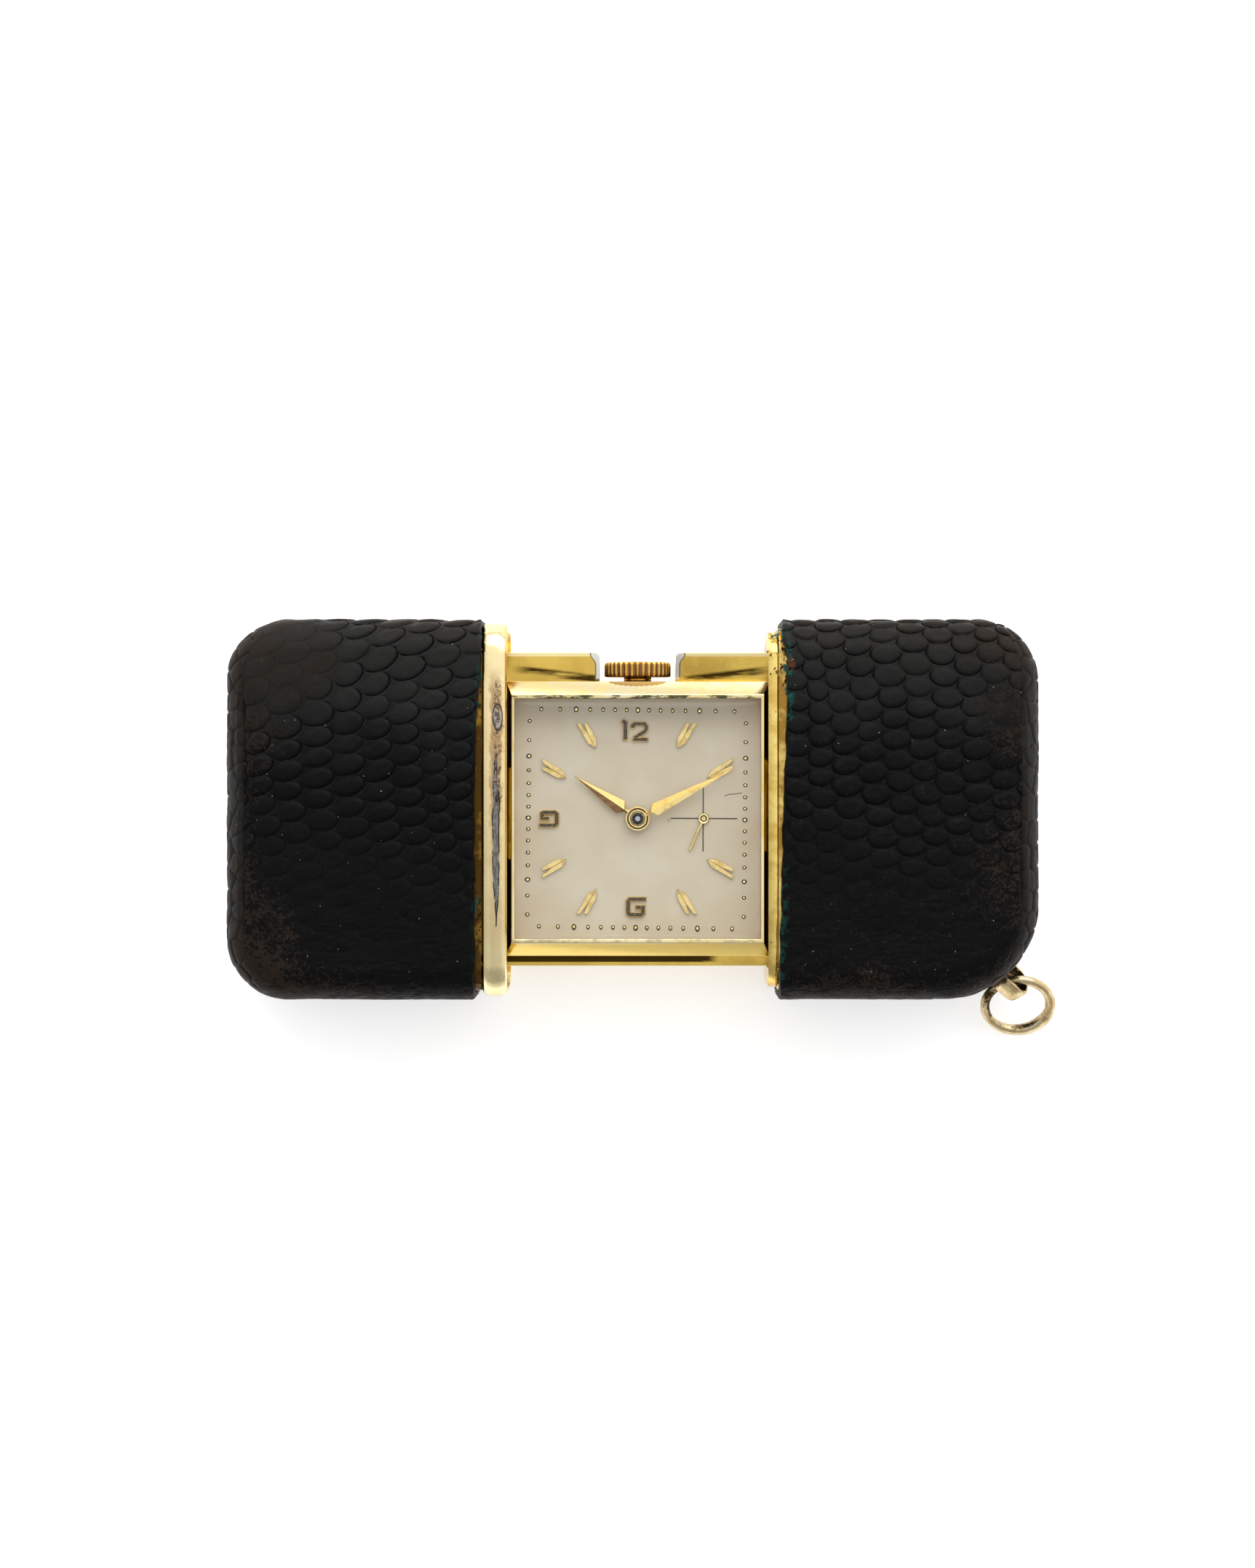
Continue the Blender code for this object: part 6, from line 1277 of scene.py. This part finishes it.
# sixty raised dots along the dial's edge, gilt with a dark outline
def buildDots():
    look = dialLook
    shells = Shells()
    for minute in range(60):
        angle = math.tau * minute / 60
        x, y = math.sin(angle), math.cos(angle)
        reach = look["dotLine"] / max(abs(x), abs(y))
        radius = look["hourDot"] if minute % 5 == 0 else look["dot"]
        top = look["top"]
        profile = [(radius, top - 0.05), (radius, top + 0.02), (radius * 0.8, top + 0.03),
                   (radius * 0.56, top + 0.035), (radius * 0.46, top + 0.055),
                   (radius * 0.2, top + look["dotHigh"])]
        shells.lathe(profile, turned((x * reach, y * reach), look["dotTurn"], look["dotCentre"]), 14,
                     [1, 1, 1, 0, 0], False)
    shells.piece("minuteDots", [giltHub, dotOutline], "carriage", "applied_gilt")


# the seconds cross and one hairline scratch
def buildPrint():
    look = dialLook
    at, reach, wide = look["crossAt"], look["crossHalf"], look["crossWide"]
    shells = Shells()
    for path, width in (([(at - reach, 0.02), (at + reach, -0.01)], wide),
                        ([(at - 0.03, reach - 0.1), (at - 0.05, -reach)], wide),
                        ([(7.49, 1.97), (7.9, 2.1), (8.45, 2.13), (8.93, 2.24)], 0.05)):
        outline = strokeOutline(path, width)
        shells.rings([atHeight(outline, look["top"] - 0.05),
                      atHeight(outline, look["top"] + look["inkHigh"])])
    shells.piece("dialPrint", dialInk, "carriage", "dial_paint")


buildDots()
buildPrint()
print("dial furniture ready")

# hub: the round a hand turns on, as (radius, height) pairs; shade: the colour of its shaded slope
handLook = {
    "neck": 0.17,
    "hour": {"length": 6.66, "half": 0.64, "widest": 1.8, "low": 9.2, "edge": 9.25, "ridge": 9.45,
             "turn": -304.0, "shade": 3,
             "hub": [(1.06, 9.2), (1.06, 9.38), (1.02, 9.44), (0.97, 9.45), (0.92, 9.44), (0.89, 9.38),
                     (0.83, 9.22)]},
    "minute": {"length": 9.47, "half": 0.55, "widest": 1.7, "low": 9.7, "edge": 9.75, "ridge": 9.95,
               "turn": -62.6, "shade": 5,
               "hub": [(0.78, 9.7), (0.78, 9.9), (0.75, 9.94), (0.71, 9.95), (0.67, 9.94), (0.655, 9.91),
                       (0.49, 9.93), (0.465, 9.90), (0.465, 9.72)]},
    "seconds": {"at": (5.7, 0.0), "turn": -204.0,
                "foot": [(0.1, 0.3), (0.085, 3.0), (-0.085, 3.0), (-0.1, 0.3)],
                "spine": [(0.05, 0.3), (0.04, 2.98), (-0.04, 2.98), (-0.05, 0.3)],
                "hub": [(0.46, 8.93), (0.46, 9.03), (0.42, 9.07), (0.36, 9.08), (0.3, 9.05), (0.27, 9.0),
                        (0.2, 9.0), (0.17, 9.05), (0.12, 9.06), (0.11, 8.95)]},
}


# two slopes meeting in a ridge, from a narrow neck to the point
def bladeShell(shells, look, start):
    angle = math.radians(look["turn"])
    neck, half, widest = handLook["neck"], look["half"], look["widest"]
    outline = [(-neck, start), (-neck, widest - 0.72 * half), (-half, widest), (0.0, look["length"]),
               (half, widest), (neck, widest - 0.72 * half), (neck, start)]
    outline.reverse()
    ridge = [(0.0, start), (0.0, widest - 0.4), (0.0, look["length"] - 0.25)]
    first = len(shells.points)
    for height in (look["low"], look["edge"]):
        shells.points += [(*turned(point, angle), height) for point in outline]
    lift = look["ridge"] - look["edge"]
    heights = (look["edge"] + lift * 0.6, look["ridge"], look["edge"] + lift * 0.25)
    shells.points += [(*turned(point, angle), height) for point, height in zip(ridge, heights)]
    count = len(outline)
    top = first + count
    near, middle, far = first + 2 * count, first + 2 * count + 1, first + 2 * count + 2
    shells.faces.append(tuple(range(first + count - 1, first - 1, -1)))
    shells.faces += [(first + i, first + (i + 1) % count, top + (i + 1) % count, top + i)
                     for i in range(count)]
    shells.faces += [(top, top + 1, middle, near), (top + 1, top + 2, middle),
                     (top + 2, top + 3, far, middle), (top + 3, top + 4, middle, far),
                     (top + 4, top + 5, middle), (top + 5, top + 6, near, middle), (top + 6, top, near)]
    shells.picks += [0] * (1 + count) + [0, 0, 0, look["shade"], look["shade"], look["shade"], 0]


def buildHands():
    hour, minute, seconds = handLook["hour"], handLook["minute"], handLook["seconds"]
    shells = Shells()
    bladeShell(shells, hour, 0.95)
    shells.lathe(hour["hub"], (0, 0), 56, [1, 1, 1, 1, 2, 2, 2])
    shells.piece("hourHand", [giltHand, giltHub, hubBlack, giltDarkReflection], "hour", "applied_gilt", ("hour_hand",))
    shells = Shells()
    bladeShell(shells, minute, 0.72)
    shells.lathe(minute["hub"], (0, 0), 56, [1, 1, 1, 1, 2, 3, 3, 4, 4])
    shells.piece("minuteHand", [giltHand, giltHub, hubBlack, hubOlive, inlayDark, giltShade], "minute",
                 "applied_gilt", ("minute_hand",))
    shells = Shells()
    angle, centre = math.radians(seconds["turn"]), seconds["at"]
    outline, spine = ([turned(point, angle, centre) for point in seconds[part]] for part in ("foot", "spine"))
    shells.rings([atHeight(outline, 8.93), atHeight(outline, 8.98), atHeight(spine, 9.06)], [2, 0])
    shells.lathe(seconds["hub"], centre, 36, [1, 1, 1, 1, 2, 2, 3, 3, 2, 2])
    shells.piece("secondsHand", [giltHand, giltHub, hubBlack, giltEdge], "seconds", "applied_gilt",
                 ("seconds_hand",))


buildHands()

crystalLook = {"paneX": 10.78, "paneY": 10.77, "domeX": 10.5, "domeY": 10.25, "low": 10.41, "rim": 10.8,
               "top": 11.49, "cells": 56, "round": 9.0}


# clear block with a low dome that falls away smoothly at its rim
def buildCrystal():
    look = crystalLook
    cells = look["cells"]
    spread = [math.sin(math.pi / 2 * (2 * step / cells - 1)) for step in range(cells + 1)]
    points, faces = [], []
    for v in spread:
        for u in spread:
            across, up = u * look["paneX"] / look["domeX"], v * look["paneY"] / look["domeY"]
            fall = max(0.0, 1 - abs(across) ** look["round"]) * max(0.0, 1 - abs(up) ** look["round"])
            points.append((u * look["paneX"], v * look["paneY"],
                           look["rim"] + (look["top"] - look["rim"]) * math.sqrt(fall)))
    low = len(points)
    points += [(u * look["paneX"], v * look["paneY"], look["low"]) for v in spread for u in spread]
    row = cells + 1
    for j in range(cells):
        for i in range(cells):
            first = j * row + i
            faces.append((first, first + 1, first + row + 1, first + row))
            faces.append((low + first, low + first + row, low + first + row + 1, low + first + 1))
    for i in range(cells):
        for first, second in ((i, i + 1), (cells * row + i + 1, cells * row + i), ((i + 1) * row, i * row),
                              (i * row + cells, (i + 1) * row + cells)):
            faces.append((first, low + first, low + second, second))
    meshPiece("crystalDome", points, faces, crystalClear, "carriage", ("crystal",))


buildCrystal()
print("hands and crystal ready")

carried = {
    giltLiner: ["right_liner"],
    giltStrip: ["left_liner"],
    giltDirty: ["case_band"],
    giltRail: ["back_plate", "strut"],
    brassCentre: ["center_wheel"],
    brassWheel: ["third_wheel", "fourth_wheel", "barrel", "minute_wheel", "hour_wheel",
                 "balance_wheel"],
    nickelPlate: ["main_plate", "barrel_bridge", "train_bridge", "balance_cock", "watch_back"],
    steelBright: ["rack_pinion", "left_rack", "right_rack", "left_friction_spring", "right_friction_spring",
                  "strut_pin", "escape_wheel", "pallet_fork", "barrel_arbor", "mainspring", "ratchet_wheel",
                  "crown_wheel", "stem", "clutch_wheel"],
    hubBlack: ["cannon_pinion"],
    steelBlued: ["hairspring"],
    dialPaint: ["dial"],
}
for material, names in carried.items():
    for name in names:
        for slot in nodes[name].material_slots:
            slot.material = material

stageLook = {"floorZ": -1.7, "floorSize": 1.4, "floorAlbedo": 0.9, "glow": 0.5, "lean": (0.1, 0.99, 0.0),
             "dark": 0.42, "bright": 1.12, "horizon": 0.96, "horizonDark": 0.84,
             "camera": (-0.88, 2.99), "lens": 100.0, "height": 386.0}


# white paper that glows a little where it is seen, and keeps the shadow
def buildFloor():
    made, tree, shader = newMaterial("paperFloor")
    setShader(shader, {"Base Color": (stageLook["floorAlbedo"],) * 3, "Roughness": 0.9,
                       "Specular IOR Level": 0.0, "Emission Color": (1.0, 1.0, 1.0)})
    seen = seenBy(tree, "Is Camera Ray", "Is Glossy Ray", "Is Transmission Ray")
    plug(shader.inputs["Emission Strength"], seen * stageLook["glow"])
    half, z = stageLook["floorSize"] / 2, stageLook["floorZ"] * mm
    mesh = bpy.data.meshes.new("paperFloor")
    mesh.from_pydata([(-half, -half, z), (half, -half, z), (half, half, z), (-half, half, z)], [],
                     [(0, 1, 2, 3)])
    mesh.materials.append(made)
    placedObject("paperFloor", mesh)


# soft room: darker on one side overhead, bright all round the horizon, white where it is seen directly
def buildWorld():
    look = stageLook
    world = bpy.data.worlds.new("softRoom")
    bpy.context.scene.world = world
    world.use_nodes = True
    tree = world.node_tree
    direction = wire(tree, "ShaderNodeTexCoord", {}, "Generated")
    facing = wire(tree, "ShaderNodeVectorMath", {0: direction, 1: tuple(Vector(look["lean"]).normalized())},
                  "Value", operation="DOT_PRODUCT")
    overhead = ramp(facing, -0.6, 0.45, look["dark"], look["bright"])
    low = ramp(wire(tree, "ShaderNodeSeparateXYZ", {0: direction}, 2), 0.42, 0.08)
    room = overhead * (1.0 - low) + low * ramp(facing, -0.9, 0.3, look["horizonDark"], look["horizon"])
    seen = seenBy(tree, "Is Camera Ray", "Is Transmission Ray")
    setShader(tree.nodes["Background"], {"Strength": room * (1.0 - seen) + seen, "Color": (1.0, 1.0, 1.0)})


def areaLight(name, place, target, size, energy):
    data = bpy.data.lights.new(name, "AREA")
    data.shape = "RECTANGLE"
    data.size, data.size_y = size
    data.energy = energy
    lamp = placedObject(name, data)
    lamp.location = place
    lamp.rotation_euler = (Vector(target) - Vector(place)).to_track_quat("-Z", "Y").to_euler()


def buildCamera():
    data = bpy.data.cameras.new("topCamera")
    data.sensor_width = 36.0
    data.lens = stageLook["lens"]
    data.clip_start = 0.01
    camera = placedObject("topCamera", data)
    camera.location = (stageLook["camera"][0] * mm, stageLook["camera"][1] * mm, stageLook["height"] * mm)
    bpy.context.scene.camera = camera


buildFloor()
buildWorld()
areaLight("topSoftbox", (0.1, 0.55, 0.40), (0, 0, 0.005), (1.0, 0.5), 3.0)
buildCamera()
bpy.context.scene.view_settings.view_transform = "Standard"
print("stage ready")
